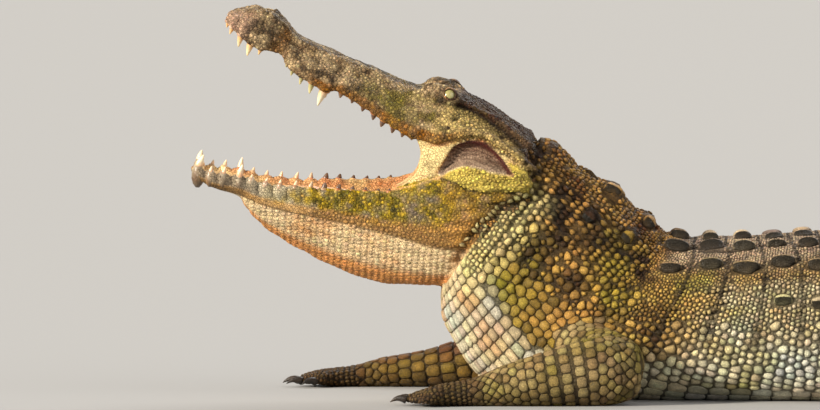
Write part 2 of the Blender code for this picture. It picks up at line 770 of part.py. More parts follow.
def orbit_ridge(side):
    """The raised rim over one eye, with the lids below it."""
    bm = bmesh.new()
    bmesh.ops.create_uvsphere(bm, u_segments=8, v_segments=6, radius=1)
    centre = Matrix.Translation((ORBIT_PLACE[0], side * ORBIT_PLACE[1], ORBIT_PLACE[2]))
    shape = SKULL_FRAME @ centre @ Matrix.Diagonal((*ORBIT_SIZE, 1))
    bmesh.ops.transform(bm, matrix=shape, verts=bm.verts)
    return finished("orbit", bm)


def make_skull(eyes):
    """The skull with its teeth, and the plain form it grew from."""
    along = [
        SKULL_REAR, 0.026, 0.042, 0.080, 0.120, 0.150, 0.190, 0.262, 0.310, 0.335, 0.360, 0.398,
        0.418, 0.444, 0.470, 0.497, SKULL_TIP,
    ]
    skull = wrapped("head_upper", sectioned(skull_section, SKULL_FRAME), along, SKULL_SIDES)
    form = copied(skull)
    joined(skull, orbit_ridge(-1), orbit_ridge(1))
    joined(skull, tooth_rows("upper_teeth", UPPER_TEETH, UPPER_WIDTH, UPPER_LIP, SKULL_FRAME, -1))
    return clear_of(skull, *eyes), form


def make_lower_jaw(skull_form):
    """The lower jaw with its teeth, and its plain form."""
    along = [
        LOWER_JAW_REAR, 0.012, 0.050, 0.090, 0.125, 0.175, 0.235, 0.295, 0.350, 0.390, 0.415,
        0.432, 0.468, 0.490, LOWER_JAW_TIP,
    ]
    jaw = wrapped("jaw_lower", sectioned(lower_jaw_section, LOWER_FRAME), along, JAW_SIDES)
    form = copied(jaw)
    rows = tooth_rows("lower_teeth", LOWER_TEETH, LOWER_WIDTH, LOWER_LIP, LOWER_FRAME, 1)
    return clear_of(joined(jaw, rows), skull_form), form


MOUTH_CORNER = Vector((-0.4565, 0, 0.355))  # middle of the round at the back of the gape
GAPE_ROUND = 0.047
LINING_FRONT = ((SKULL_FRAME, 0.183), (LOWER_FRAME, 0.200))  # it ends behind the last teeth
LINING_SPAN = (-0.50, -0.25)  # in world x
LINING_HEIGHT = through((-0.52, 0.105), (-0.38, 0.085), (-0.26, 0.045))  # half of it
LINING_MIDDLE = through((-0.52, 0.370), (-0.38, 0.358), (-0.26, 0.330))
LINING_WIDTH = through(
    (-0.52, 0.052), (-0.46, 0.062), (-0.40, 0.078), (-0.33, 0.094), (-0.26, 0.104)
)
LINING_BOXINESS = 0.45
THROAT_HOLLOW = ((-0.455, 0, 0.362), (0.105, 0.058, 0.060))  # an ellipsoid's middle and half sizes


def make_mouth_lining(skull_form, jaw_form, body_form):
    """The flesh that closes the back of the mouth and the cheeks between the two jaws."""
    lean = SKULL_FRAME.to_3x3() @ Vector((0, 1, 0))

    def point_at(x, share):
        angle = 2 * math.pi * share
        across = math.copysign(abs(math.sin(angle)) ** LINING_BOXINESS, math.sin(angle))
        up = math.copysign(abs(math.cos(angle)) ** LINING_BOXINESS, math.cos(angle))
        rise = LINING_MIDDLE(x) + up * LINING_HEIGHT(x)
        return Vector((x, 0, rise)) + lean * across * LINING_WIDTH(x)

    lining = wrapped("mouth_lining", point_at, evenly(*LINING_SPAN, 4), 10)
    bm = bmesh.new()
    bm.from_mesh(lining.data)
    for frame, front in LINING_FRONT:
        forward = frame.to_3x3() @ Vector((1, 0, 0))
        keep_behind(bm, frame @ Vector((front, 0, 0)), forward)
    bmesh.ops.triangulate(bm, faces=bm.faces)
    bm.to_mesh(lining.data)
    bm.free()
    bm = bmesh.new()
    bmesh.ops.create_cone(
        bm, cap_ends=True, segments=12, radius1=GAPE_ROUND, radius2=GAPE_ROUND, depth=0.4
    )
    turn = Matrix.Translation(MOUTH_CORNER) @ Matrix.Rotation(math.pi / 2, 4, "X")
    bmesh.ops.transform(bm, matrix=turn, verts=bm.verts)
    combined(lining, finished("gape", bm), "DIFFERENCE")
    bm = bmesh.new()
    bmesh.ops.create_uvsphere(bm, u_segments=10, v_segments=5, radius=1)
    place, size = THROAT_HOLLOW
    hollow = Matrix.Translation(place) @ Matrix.Diagonal((*size, 1))
    bmesh.ops.transform(bm, matrix=hollow, verts=bm.verts)
    combined(lining, finished("throat_hollow", bm), "DIFFERENCE")
    return clear_of(lining, skull_form, jaw_form, body_form)


TONGUE = ((0.314, 0, -0.036), (0.108, 0.032, 0.016))  # in the lower jaw's frame: middle, half sizes


def make_tongue(jaw_form):
    bm = bmesh.new()
    bmesh.ops.create_uvsphere(bm, u_segments=10, v_segments=6, radius=1)
    place, size = TONGUE
    shape = LOWER_FRAME @ Matrix.Translation(place) @ Matrix.Diagonal((*size, 1))
    bmesh.ops.transform(bm, matrix=shape, verts=bm.verts)
    return clear_of(finished("tongue", bm), jaw_form)


SHOULDER_CUT = LENGTHS[6]
TAIL_CUTS = (0, 8, 15, 22, 29)  # the rings of scutes at which the tail is parted


def body_places():
    """The lengths of the body's rings, closer together in the bent neck."""
    return [
        *evenly(LENGTHS[0], LENGTHS[5], 8)[:-1],
        *evenly(LENGTHS[5], STRAIGHT + VENT, 9)[:-1],
        *evenly(STRAIGHT + VENT, STRAIGHT + TAIL_TIP - 0.03, 16),
        STRAIGHT + TAIL_TIP - 0.01,
    ]


def make_body():
    """Neck, trunk and tail as one solid parted across, and its plain form."""
    whole = wrapped("whole", body_point, body_places(), BODY_SIDES)
    form = copied(whole)
    bosses = [
        boss(length, share * side, *size)
        for length, share, *size in NUCHAL_BOSSES
        for side in (-1, 1)
    ]
    for shield in bosses:
        joined(whole, shield)
    blades = [
        crest_blade(i, side)
        for i in range(CREST_START, len(WHORLS) - 1)
        for side in ((-1, 1) if i < CREST_JOINS else (0,))
    ]
    joined(whole, together("blades", blades))
    cuts = [WHORLS[i] for i in TAIL_CUTS]
    pieces = [
        length_of_body(whole, "neck", None, SHOULDER_CUT),
        length_of_body(whole, "trunk", SHOULDER_CUT, cuts[0]),
    ]
    for i, start in enumerate(cuts):
        stop = cuts[i + 1] if i + 1 < len(cuts) else None
        pieces.append(length_of_body(whole, f"tail_{i + 1}", start, stop))
    bpy.data.objects.remove(whole)
    return pieces, form


def make_limbs(body_form):
    pieces, claws = [], []
    for side_name, side in SIDES.items():
        arm = LEFT_ARM if side < 0 else RIGHT_ARM
        limbs = ((arm, FINGERS), (LEG, TOES))
        for stations, digits in limbs:
            upper_name, lower_name, end_name = stations
            upper = limb_piece(f"{upper_name}_{side_name}", stations[upper_name], side)
            lower = limb_piece(f"{lower_name}_{side_name}", stations[lower_name], side)
            upper_form, lower_form = copied(upper), copied(lower)
            clear_of(upper, body_form)
            clear_of(lower, upper_form, body_form)
            end, own_claws = extremity(
                f"{end_name}_{side_name}", stations[end_name], digits, side, side_name
            )
            clear_of(end, lower_form)
            pieces += [rested(limb) for limb in (upper, lower, end)]
            claws += own_claws
            for form in (upper_form, lower_form):
                bpy.data.objects.remove(form)
    return pieces, claws


def make_crocodile():
    body, body_form = make_body()
    eyes = [make_eye(f"eye_{name}", side) for name, side in SIDES.items()]
    skull, skull_form = make_skull(eyes)
    jaw, jaw_form = make_lower_jaw(skull_form)
    clear_of(body[0], skull_form, jaw_form, gap=2 * GAP)
    lining = make_mouth_lining(skull_form, jaw_form, body_form)
    tongue = make_tongue(jaw_form)
    limbs, claws = make_limbs(body_form)
    for form in (body_form, skull_form, jaw_form):
        bpy.data.objects.remove(form)
    painted([*body, skull, *limbs], HIDE)
    painted([jaw], GULAR)
    painted([lining, tongue], FLESH)
    painted(claws, KERATIN)
    painted(eyes, EYEBALL)
    crocodile = bpy.data.collections.new("crocodile")
    bpy.context.scene.collection.children.link(crocodile)
    for piece in [*body, skull, jaw, lining, tongue, *limbs, *claws, *eyes]:
        bpy.context.scene.collection.objects.unlink(piece)
        crocodile.objects.link(piece)


for old in list(bpy.data.objects):
    bpy.data.objects.remove(old)
make_crocodile()
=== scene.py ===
"""Dresses the crocodile: one hide over the whole body, its scales, teeth, eyes, lids, tongue and claws."""

import math

import bmesh
import bpy
import numpy as np
from mathutils import Matrix, Vector
from mathutils.bvhtree import BVHTree
from mathutils.kdtree import KDTree


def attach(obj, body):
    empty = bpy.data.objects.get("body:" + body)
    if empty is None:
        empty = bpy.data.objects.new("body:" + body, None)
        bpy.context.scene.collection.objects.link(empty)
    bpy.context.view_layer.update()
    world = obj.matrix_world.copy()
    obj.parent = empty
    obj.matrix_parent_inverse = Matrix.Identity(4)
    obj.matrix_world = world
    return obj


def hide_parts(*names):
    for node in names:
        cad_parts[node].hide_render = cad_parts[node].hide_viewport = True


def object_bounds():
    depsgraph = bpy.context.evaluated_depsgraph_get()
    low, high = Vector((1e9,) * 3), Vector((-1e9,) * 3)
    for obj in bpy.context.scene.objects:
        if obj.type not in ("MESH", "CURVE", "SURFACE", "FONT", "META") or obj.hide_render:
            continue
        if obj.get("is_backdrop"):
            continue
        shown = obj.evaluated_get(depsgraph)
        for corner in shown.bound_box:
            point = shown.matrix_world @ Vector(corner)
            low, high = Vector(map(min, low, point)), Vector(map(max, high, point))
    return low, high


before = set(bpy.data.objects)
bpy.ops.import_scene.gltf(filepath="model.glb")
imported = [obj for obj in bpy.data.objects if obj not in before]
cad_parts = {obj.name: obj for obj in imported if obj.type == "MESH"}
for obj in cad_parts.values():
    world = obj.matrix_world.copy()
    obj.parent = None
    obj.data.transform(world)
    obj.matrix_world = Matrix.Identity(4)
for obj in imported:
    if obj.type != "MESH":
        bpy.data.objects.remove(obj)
CAD_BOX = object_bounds()

# ================================================================ the animal's plan
# The same named sizes as the solids: metres, +Z up, facing -X, left side towards -Y.
JAW_JOINT = Vector((-0.246, 0.0, 0.304))
SKULL_PITCH = 29.0
LOWER_JAW_PITCH = 4.0
HEAD_ROLL = 6.0
SKULL_TIP = 0.5142
LOWER_JAW_TIP = 0.5004
VENT = 0.92
TAIL_TIP = 2.67
EYE_RADIUS = 0.0108
EYE_PLACE = (0.1723, 0.0463, 0.0660)
SIDES = {"left": -1, "right": 1}
COAT_DEPTH = 0.0022  # how far the hide lies below the tops of the scales


def mix(low, high, share):
    return low + (high - low) * share


def through(*knots):
    """A smooth function of numbers or arrays through (position, value) knots, with no overshoot."""
    places, values = (np.array(column, float) for column in zip(*knots))
    rises = np.diff(values) / np.diff(places)
    before, after = rises[:-1], rises[1:]
    agree = before * after > 0
    inner = np.where(agree, 2 * before * after / np.where(agree, before + after, 1), 0.0)
    slopes = np.concatenate([rises[:1], inner, rises[-1:]])

    def value_at(place):
        place = np.clip(place, places[0], places[-1])
        i = np.clip(np.searchsorted(places, place, side="right") - 1, 0, len(places) - 2)
        width = places[i + 1] - places[i]
        t = (place - places[i]) / width
        return (
            values[i] * (1 + 2 * t) * (1 - t) ** 2
            + values[i + 1] * t * t * (3 - 2 * t)
            + slopes[i] * width * t * (1 - t) ** 2
            + slopes[i + 1] * width * t * t * (t - 1)
        )

    return value_at


def window(place, start, stop, soft):
    """1 between start and stop, falling smoothly to 0 over a soft width outside them."""
    rise = np.clip((place - start) / soft + 1, 0, 1)
    fall = np.clip((stop - place) / soft + 1, 0, 1)
    share = np.minimum(rise, fall)
    return share * share * (3 - 2 * share)


def hump(place, centre, width):
    return np.exp(-(((place - centre) / width) ** 2))


def noise(points, size, seed):
    """Smooth random numbers from -1 to 1 at points, that vary over a size in metres."""
    scaled = np.asarray(points, float) / size + 31.7 * seed
    cell = np.floor(scaled).astype(np.int64)
    t = scaled - cell
    t = t * t * (3 - 2 * t)
    total = np.zeros(len(scaled))
    for corner in np.ndindex(2, 2, 2):
        key = (cell + corner) * (73856093, 19349663, 83492791)
        mixed = (key[:, 0] ^ key[:, 1] ^ key[:, 2] ^ (seed * 97003)) & 0xFFFFFFFF
        mixed = ((mixed ^ (mixed >> 15)) * 2246822519) & 0xFFFFFFFF
        mixed = ((mixed ^ (mixed >> 13)) * 3266489917) & 0xFFFFFFFF
        value = ((mixed ^ (mixed >> 16)) & 0xFFFF) / 32767.5 - 1
        weight = np.prod(np.where(corner, t, 1 - t), axis=1)
        total += weight * value
    return total


def rough(points, size, seed):
    """Three octaves of noise."""
    return (
        noise(points, size, seed)
        + 0.5 * noise(points, size / 2.1, seed + 1)
        + 0.25 * noise(points, size / 4.3, seed + 2)
    ) / 1.5


# ---------------------------------------------------------------- neck, trunk and tail
BODY_STATIONS = (  # top (x, z), underside (x, z) and half width of each cut across the body
    ((-0.285, 0.348), (-0.345, 0.200), 0.075),
    ((-0.252, 0.374), (-0.381, 0.165), 0.107),
    ((-0.202, 0.355), (-0.380, 0.124), 0.126),
    ((-0.154, 0.322), (-0.363, 0.084), 0.136),
    ((-0.102, 0.283), (-0.338, 0.044), 0.147),
    ((-0.062, 0.250), (-0.298, 0.010), 0.158),
    ((-0.015, 0.235), (-0.190, -0.006), 0.173),
    ((0.058, 0.236), (-0.044, -0.012), 0.190),
    ((0.146, 0.241), (0.117, -0.014), 0.210),
    ((0.300, 0.252), (0.300, -0.014), 0.233),
    ((0.460, 0.254), (0.460, -0.014), 0.238),
    ((0.620, 0.245), (0.620, -0.013), 0.214),
    ((0.780, 0.226), (0.780, -0.012), 0.172),
    ((0.920, 0.203), (0.920, -0.010), 0.138),
    ((1.100, 0.182), (1.100, -0.008), 0.112),
    ((1.400, 0.158), (1.400, -0.006), 0.080),
    ((1.700, 0.132), (1.700, -0.005), 0.056),
    ((2.000, 0.108), (2.000, -0.004), 0.038),
    ((2.300, 0.082), (2.300, -0.003), 0.023),
    ((2.550, 0.050), (2.550, -0.002), 0.012),
    ((2.650, 0.026), (2.650, 0.001), 0.006),
)
TAIL_HEADING = through(
    (0.75, 0), (1.15, 13), (1.55, 25), (1.95, 10), (2.30, -16), (2.67, -36)
)
PLAN_STEP = 0.01
STATIONS = np.array([[*top, *under, width] for top, under, width in BODY_STATIONS])
MIDDLES = (STATIONS[:, 0:2] + STATIONS[:, 2:4]) / 2
LENGTHS = np.concatenate([[0], np.cumsum(np.linalg.norm(np.diff(MIDDLES, axis=0), axis=1))])
TOP_X, TOP_Z, UNDER_X, UNDER_Z, HALF_WIDTH = (
    through(*zip(LENGTHS, STATIONS[:, column])) for column in range(5)
)
STRAIGHT = LENGTHS[9] - BODY_STATIONS[9][0][0]  # from here back, length is x plus this
BODY_END = STRAIGHT + TAIL_TIP
TAIL_ROOT = STRAIGHT + VENT
BOXINESS = through((0.0, 2.15), (0.5, 2.4), (1.4, 2.3), (2.0, 2.0))

PLAN_X = np.arange(0, 3.0, PLAN_STEP)
PLAN_HEADING = np.radians(TAIL_HEADING(PLAN_X))
PLAN_LINE = np.stack([
    np.concatenate([[0], np.cumsum(np.cos(PLAN_HEADING))[:-1]]),
    np.concatenate([[0], np.cumsum(np.sin(PLAN_HEADING))[:-1]]),
]) * PLAN_STEP


def on_plan(points):
    """Moves points of the straight body to where the swung tail carries them."""
    x, y, z = points.T
    line_x, line_y, heading = (
        np.interp(x, PLAN_X, row) for row in (*PLAN_LINE, PLAN_HEADING)
    )
    swung = np.stack([line_x - y * np.sin(heading), line_y + y * np.cos(heading), z], axis=1)
    return np.where(x[:, None] > 0, swung, points)


def powered(wave, power):
    return np.sign(wave) * np.abs(wave) ** power


def body_surface(length, share):
    """The hide at lengths along the body and shares of the way round from the back."""
    length, share = np.broadcast_arrays(np.asarray(length, float), np.asarray(share, float))
    angle = 2 * np.pi * share
    power = 2 / BOXINESS(length)
    across = powered(np.sin(angle), power)
    height = (1 + powered(np.cos(angle), power)) / 2
    sag = 1 - 0.07 * np.cos(angle)
    points = np.stack([
        mix(UNDER_X(length), TOP_X(length), height),
        HALF_WIDTH(length) * across * sag,
        mix(UNDER_Z(length), TOP_Z(length), height),
    ], axis=1)
    return on_plan(points)


# ---------------------------------------------------------------- skull and lower jaw
ROOF = through(
    (0.028, 0.058), (0.0406, 0.0676), (0.129, 0.077), (0.152, 0.075), (0.190, 0.064),
    (0.232, 0.0515), (0.272, 0.0478), (0.339, 0.039), (0.407, 0.0348), (0.425, 0.043),
    (0.446, 0.0468), (0.474, 0.0399), (0.497, 0.028), (0.5142, 0.009),
)
UPPER_LIP = through(
    (0.021, 0.035), (0.055, 0.044), (0.089, 0.0453), (0.118, 0.0364), (0.145, 0.012),
    (0.172, -0.0049), (0.228, -0.0111), (0.263, -0.0082), (0.315, -0.0054), (0.335, -0.0145),
    (0.347, -0.0147), (0.396, -0.0112), (0.414, -0.0015), (0.424, -0.003), (0.445, -0.0085),
    (0.484, -0.0047), (0.505, 0.000), (0.5142, 0.004),
)
UPPER_WIDTH = through(
    (-0.010, 0.060), (0.000, 0.078), (0.020, 0.099), (0.045, 0.114), (0.070, 0.116), (0.100, 0.108),
    (0.150, 0.096), (0.200, 0.080), (0.250, 0.066), (0.300, 0.0575), (0.335, 0.059),
    (0.360, 0.056), (0.390, 0.046), (0.415, 0.0385), (0.430, 0.040), (0.455, 0.0465),
    (0.475, 0.0465), (0.495, 0.040), (0.508, 0.025), (0.5142, 0.008),
)
ROOF_WIDTH = through(
    (0.028, 0.050), (0.041, 0.056), (0.129, 0.053), (0.160, 0.050), (0.190, 0.044),
    (0.232, 0.034), (0.280, 0.030), (0.340, 0.028), (0.400, 0.021), (0.425, 0.024),
    (0.450, 0.028), (0.475, 0.027), (0.497, 0.018), (0.5142, 0.004),
)
TABLE = through((0.022, 0.5), (0.045, 1.0), (0.125, 1.0), (0.150, 0.5), (0.175, 0.0))
SKULL_REAR = 0.006
LOWER_LIP = through(
    (-0.012, 0.020), (0.019, 0.0358), (0.050, 0.0430), (0.079, 0.0445), (0.110, 0.033),
    (0.136, 0.0184), (0.178, -0.0011), (0.222, -0.0114), (0.280, -0.0135), (0.339, -0.0156),
    (0.395, -0.0132), (0.428, -0.0056), (0.469, -0.0042), (0.490, 0.0005), (0.5004, -0.002),
)
JAW_BONE = through(
    (-0.012, -0.015), (0.028, -0.0555), (0.070, -0.0794), (0.128, -0.0836), (0.188, -0.0745),
    (0.262, -0.0635), (0.336, -0.0555), (0.395, -0.0461), (0.428, -0.0347), (0.460, -0.028),
    (0.486, -0.0191), (0.5004, -0.009),
)
THROAT = through(
    (-0.012, -0.030), (0.050, -0.125), (0.100, -0.147), (0.146, -0.1525), (0.198, -0.1546),
    (0.242, -0.1474), (0.279, -0.1366), (0.317, -0.1215), (0.355, -0.1034), (0.386, -0.0848),
    (0.409, -0.0641), (0.428, -0.0410), (0.460, -0.031), (0.486, -0.0195), (0.5004, -0.0095),
)
LOWER_WIDTH = through(
    (-0.012, 0.085), (0.000, 0.105), (0.020, 0.114), (0.060, 0.117), (0.100, 0.110),
    (0.150, 0.096), (0.200, 0.079), (0.250, 0.064), (0.300, 0.054), (0.350, 0.048),
    (0.400, 0.041), (0.430, 0.0385), (0.460, 0.038), (0.482, 0.031), (0.494, 0.019),
    (0.5004, 0.006),
)
MOUTH_FLOOR = through((0.0, 0.0), (0.14, 0.020))
LOWER_JAW_REAR = -0.012


def skull_section(x):
    """Half of the cut at each x, palate to crown, as (sideways, up) corners."""
    width, roof, lip, table = UPPER_WIDTH(x), ROOF(x), UPPER_LIP(x), ROOF_WIDTH(x)
    height, shelf = roof - lip, TABLE(x)
    return [
        (0 * x, lip + 0.13 * height),
        (0.50 * width, lip + 0.11 * height),
        (0.84 * width, lip + 0.03 * height),
        (0.96 * width, lip - 0.005 * height),
        (width, lip + 0.10 * height),
        (mix(table, width, 0.94), lip + 0.38 * height),
        (mix(mix(table, width, 0.55), 1.30 * table, shelf),
         mix(lip + 0.64 * height, roof - 0.034, shelf)),
        (mix(mix(table, width, 0.24), 1.02 * table, shelf),
         mix(lip + 0.82 * height, roof - 0.0215, shelf)),
        (mix(1.08 * table, 1.05 * table, shelf), mix(lip + 0.91 * height, roof - 0.014, shelf)),
        (mix(0.95 * table, 1.04 * table, shelf), mix(lip + 0.965 * height, roof - 0.003, shelf)),
        (mix(0.70, 0.88, shelf) * table, lip + 0.997 * height),
        (0 * x, roof),
    ]


def lower_jaw_section(x):
    """Half of the cut at each x, mouth floor to throat, as (sideways, up) corners."""
    width, lip, bone, throat = LOWER_WIDTH(x), LOWER_LIP(x), JAW_BONE(x), THROAT(x)
    floor = np.minimum(MOUTH_FLOOR(x), 0.3 * (lip - bone))
    return [
        (0 * x, lip - floor),
        (0.55 * width, lip - 0.97 * floor),
        (0.74 * width, lip - 0.55 * floor),
        (0.82 * width, lip - 0.04 * floor),
        (0.93 * width, lip + 0.0005),
        (width, mix(lip, bone, 0.13)),
        (1.015 * width, mix(lip, bone, 0.45)),
        (0.985 * width, mix(lip, bone, 0.82)),
        (0.90 * width, mix(bone, throat, 0.02)),
        (0.83 * width, mix(bone, throat, 0.16)),
        (0.67 * width, mix(bone, throat, 0.58)),
        (0.38 * width, mix(bone, throat, 0.91)),
        (0 * x, throat),
    ]


def jaw_frame(pitch):
    """Takes points of a jaw's own frame (forward, right, up) to the world."""
    tilt, roll = math.radians(pitch), math.radians(HEAD_ROLL)
    forward = Vector((-math.cos(tilt), 0, math.sin(tilt)))
    up = Vector((math.sin(tilt), 0, math.cos(tilt)))
    side = Vector((0, 1, 0))
    leaning_up = math.cos(roll) * up - math.sin(roll) * side
    leaning_side = math.cos(roll) * side + math.sin(roll) * up
    made = Matrix((forward, leaning_side, leaning_up)).transposed().to_4x4()
    made.translation = JAW_JOINT
    return made


SKULL_FRAME = jaw_frame(SKULL_PITCH)
LOWER_FRAME = jaw_frame(LOWER_JAW_PITCH)


def moved(matrix, points):
    """Points as an array, taken through a matrix."""
    array = np.array(matrix)
    return np.asarray(points, float) @ array[:3, :3].T + array[:3, 3]


def sectioned(section, matrix):
    """A surface whose cut at each x is a smooth closed line through a half section's corners."""

    def surface(x, share):
        x, share = np.broadcast_arrays(np.asarray(x, float), np.asarray(share, float))
        half = np.array([np.stack(corner) for corner in section(x)])
        other = half[-2:0:-1] * np.array([-1, 1])[None, :, None]
        corners = np.concatenate([half, other])
        count = len(corners)
        whole = (share % 1) * count
        i = np.floor(whole).astype(int)
        t = whole - i
        each = np.arange(len(x))
        a, b, c, d = (corners[(i + k) % count, :, each].T for k in (-1, 0, 1, 2))
        across, up = 0.5 * (
            2 * b + (c - a) * t + (2 * a - 5 * b + 4 * c - d) * t**2
            + (3 * b - a - 3 * c + d) * t**3
        )
        return moved(matrix, np.stack([x, across, up], axis=1))

    return surface


skull_surface = sectioned(skull_section, SKULL_FRAME)
jaw_surface = sectioned(lower_jaw_section, LOWER_FRAME)

# ---------------------------------------------------------------- limbs
LEFT_ARM = {
    "upper_arm": ((-0.205, 0.085, 0.105, 0.046, 0.052), (-0.168, 0.165, 0.072, 0.046, 0.046),
                  (-0.138, 0.212, 0.058, 0.044, 0.050), (-0.112, 0.236, 0.052, 0.036, 0.044)),
    "forearm": ((-0.105, 0.238, 0.050, 0.034, 0.044), (-0.150, 0.245, 0.049, 0.041, 0.052),
                (-0.235, 0.250, 0.037, 0.039, 0.040), (-0.293, 0.250, 0.027, 0.032, 0.030),
                (-0.325, 0.250, 0.020, 0.027, 0.023)),
    "hand": ((-0.322, 0.250, 0.019, 0.026, 0.021), (-0.350, 0.251, 0.018, 0.032, 0.020),
             (-0.385, 0.252, 0.015, 0.036, 0.017)),
}
RIGHT_ARM = {
    "upper_arm": ((-0.170, 0.085, 0.105, 0.046, 0.052), (-0.215, 0.165, 0.075, 0.046, 0.048),
                  (-0.258, 0.212, 0.058, 0.042, 0.048), (-0.285, 0.232, 0.050, 0.038, 0.044)),
    "forearm": ((-0.278, 0.232, 0.047, 0.036, 0.044), (-0.335, 0.240, 0.037, 0.040, 0.039),
                (-0.400, 0.244, 0.027, 0.036, 0.029), (-0.455, 0.247, 0.022, 0.031, 0.024),
                (-0.487, 0.248, 0.018, 0.027, 0.020)),
    "hand": ((-0.484, 0.248, 0.017, 0.026, 0.019), (-0.512, 0.249, 0.015, 0.032, 0.017),
             (-0.545, 0.250, 0.013, 0.036, 0.015)),
}
LEG = {
    "thigh": ((0.775, 0.080, 0.125, 0.066, 0.076), (0.715, 0.175, 0.105, 0.060, 0.068),
              (0.655, 0.248, 0.076, 0.050, 0.056), (0.622, 0.278, 0.062, 0.042, 0.048)),
    "shank": ((0.620, 0.282, 0.054, 0.036, 0.044), (0.668, 0.306, 0.048, 0.042, 0.047),
              (0.735, 0.330, 0.036, 0.037, 0.038), (0.795, 0.345, 0.026, 0.029, 0.029)),
    "foot": ((0.812, 0.352, 0.020, 0.022, 0.022), (0.775, 0.395, 0.018, 0.031, 0.020),
             (0.735, 0.430, 0.015, 0.039, 0.017), (0.700, 0.455, 0.013, 0.043, 0.015)),
}
FINGERS = (
    (34, 0.040, -0.80), (15, 0.056, -0.42), (2, 0.060, 0.0), (-14, 0.056, 0.42), (-32, 0.044, 0.80),
)
TOES = ((24, 0.058, -0.75), (9, 0.078, -0.28), (-6, 0.082, 0.25), (-22, 0.066, 0.75))
FINGER_RADIUS = 0.0115
DIGIT_HEIGHTS = (0.0150, 0.0155, 0.0120, 0.0088)
END_SHARE = 0.12
CLAWED = 3
CLAW_LENGTH = 0.024


def limb_surface(stations, side):
    """The surface of a limb piece; its share along runs a little past 0 and 1, round the ends."""
    shares = np.linspace(0, 1, len(stations))
    x, y, z, width, height = (through(*zip(shares, column)) for column in zip(*stations))

    def middle(t):
        return np.stack([x(t), side * y(t), z(t)], axis=1)

    def surface(t, share):
        t, share = np.broadcast_arrays(np.asarray(t, float), np.asarray(share, float))
        inner = np.clip(t, 0, 1)
        ahead = middle(np.minimum(inner + 0.02, 1)) - middle(np.maximum(inner - 0.02, 0))
        ahead /= np.linalg.norm(ahead, axis=1)[:, None]
        across = np.cross(ahead, (0, 0, 1))
        across /= np.linalg.norm(across, axis=1)[:, None]
        up = np.cross(across, ahead)
        past = np.minimum(np.abs(t - inner) / END_SHARE, 1)
        shrink = np.sqrt(1 - 0.999 * past**2)
        reach = np.sign(t - inner) * past * 0.55 * width(inner)
        angle = 2 * np.pi * share
        return (
            middle(inner)
            + ahead * reach[:, None]
            + across * (np.sin(angle) * width(inner) * shrink)[:, None]
            + up * (np.cos(angle) * height(inner) * shrink)[:, None]
        )

    return surface


def digit_lines(stations, digits, side):
    """For each digit its middle line as stations, from inside the palm to its tip."""
    last, before = np.array(stations[-1]), np.array(stations[-2])
    end = np.array([last[0], side * last[1], last[2]])
    inner = np.array([before[0], side * before[1], before[2]])
    heading = end - mix(end, inner, 0.5)
    heading[2] = 0
    heading /= np.linalg.norm(heading)
    inward = np.array([0, -side, 0]) - heading * heading[1] * -side
    inward /= np.linalg.norm(inward)
    lines = []
    for spread, length, across in digits:
        turn = math.radians(spread)
        ahead = heading * math.cos(turn) + inward * math.sin(turn)
        root = end - inward * across * last[3] * 0.75 - heading * 0.012
        lines.append([
            (*(root + ahead * length * t)[:2], rise, FINGER_RADIUS * thick, FINGER_RADIUS * thick)
            for (t, thick), rise in zip(
                ((0.0, 1.12), (0.40, 1.02), (0.72, 1.0), (1.0, 0.72)), DIGIT_HEIGHTS
            )
        ])
    return lines


def limb_pieces():
    """Every limb piece as (name, surface, side)."""
    pieces, lines = [], {}
    for side_name, side in SIDES.items():
        arm = LEFT_ARM if side < 0 else RIGHT_ARM
        for limb, digits, kind in ((arm, FINGERS, "finger"), (LEG, TOES, "toe")):
            for name, stations in limb.items():
                pieces.append((f"{name}_{side_name}", limb_surface(stations, side), side))
            own_lines = digit_lines(stations, digits, side)
            for i, line in enumerate(own_lines):
                pieces.append((f"{kind}_{i + 1}_{side_name}", limb_surface(line, 1), side))
            lines[kind, side_name] = own_lines
    return pieces, lines


LIMBS, DIGIT_LINES = limb_pieces()

# ================================================================ colours
def linear(code):
    """An sRGB hex colour as linear red, green and blue."""
    parts = [int(code[i:i + 2], 16) / 255 for i in (1, 3, 5)]
    return np.array([
        part / 12.92 if part <= 0.04045 else ((part + 0.055) / 1.055) ** 2.4 for part in parts
    ])


BACK_BEIGE = linear("#dcbf9a")
BACK_GREY = linear("#8f7a6a")
# dark olive: the tail's dark bands, and on the shields' keels painted shade partly of algae
DARK_OLIVE_AND_SHADE = linear("#17140a")
FLANK_GOLD = linear("#d0a855")
FLANK_BROWN = linear("#6b4a1e")
FLANK_GREEN = linear("#a79f48")
FLANK_PALE = linear("#e0d2a8")
BELLY_PALE = linear("#f2e6c2")
BELLY_BLUE = linear("#dae0d2")
CHEST_CREAM = linear("#ecd5a4")
CHEST_ORANGE = linear("#d48f46")
NECK_OLIVE = linear("#948722")
NECK_GOLD = linear("#c8984a")
NECK_BROWN = linear("#3a2207")
NAPE_RED = linear("#7c4318")
JOWL_STRAW = linear("#efdc96")
THROAT_CREAM = linear("#fbdcaa")
THROAT_TAN = linear("#e39a52")
JAW_PALE = linear("#dccfae")
JAW_GREY = linear("#94826a")
JAW_GREEN = linear("#a8930c")
JAW_OCHRE = linear("#d89c44")
MOUND_GREEN = linear("#f7db66")
SNOUT_BROWN = linear("#a08058")
SNOUT_DARK = linear("#46361e")
SNOUT_PALE = linear("#d9bb8c")
SNOUT_GREEN = linear("#8f7f30")
TIP_PINK = linear("#e0b597")
LIP_OCHRE = linear("#a0660c")
TABLE_BROWN = linear("#54301a")
ARM_TAN = linear("#b49a66")
ARM_MUD = linear("#54391f")
ARM_RUST = linear("#6c3c1c")
ARM_YELLOW = linear("#8c6c24")
MOUTH_PINK = linear("#e59a66")
MOUTH_CREAM = linear("#fbdf9c")
MOUTH_MAROON = linear("#4c1812")
MOUTH_BAND = linear("#8a6850")
FOLD_PALE = linear("#b9a086")
# painted shade: the dark colour laid into creases, grooves, seams and the gaps between scales
CREASE_SHADE = linear("#1d1207")
ALGAE_DARK = linear("#4a440c")
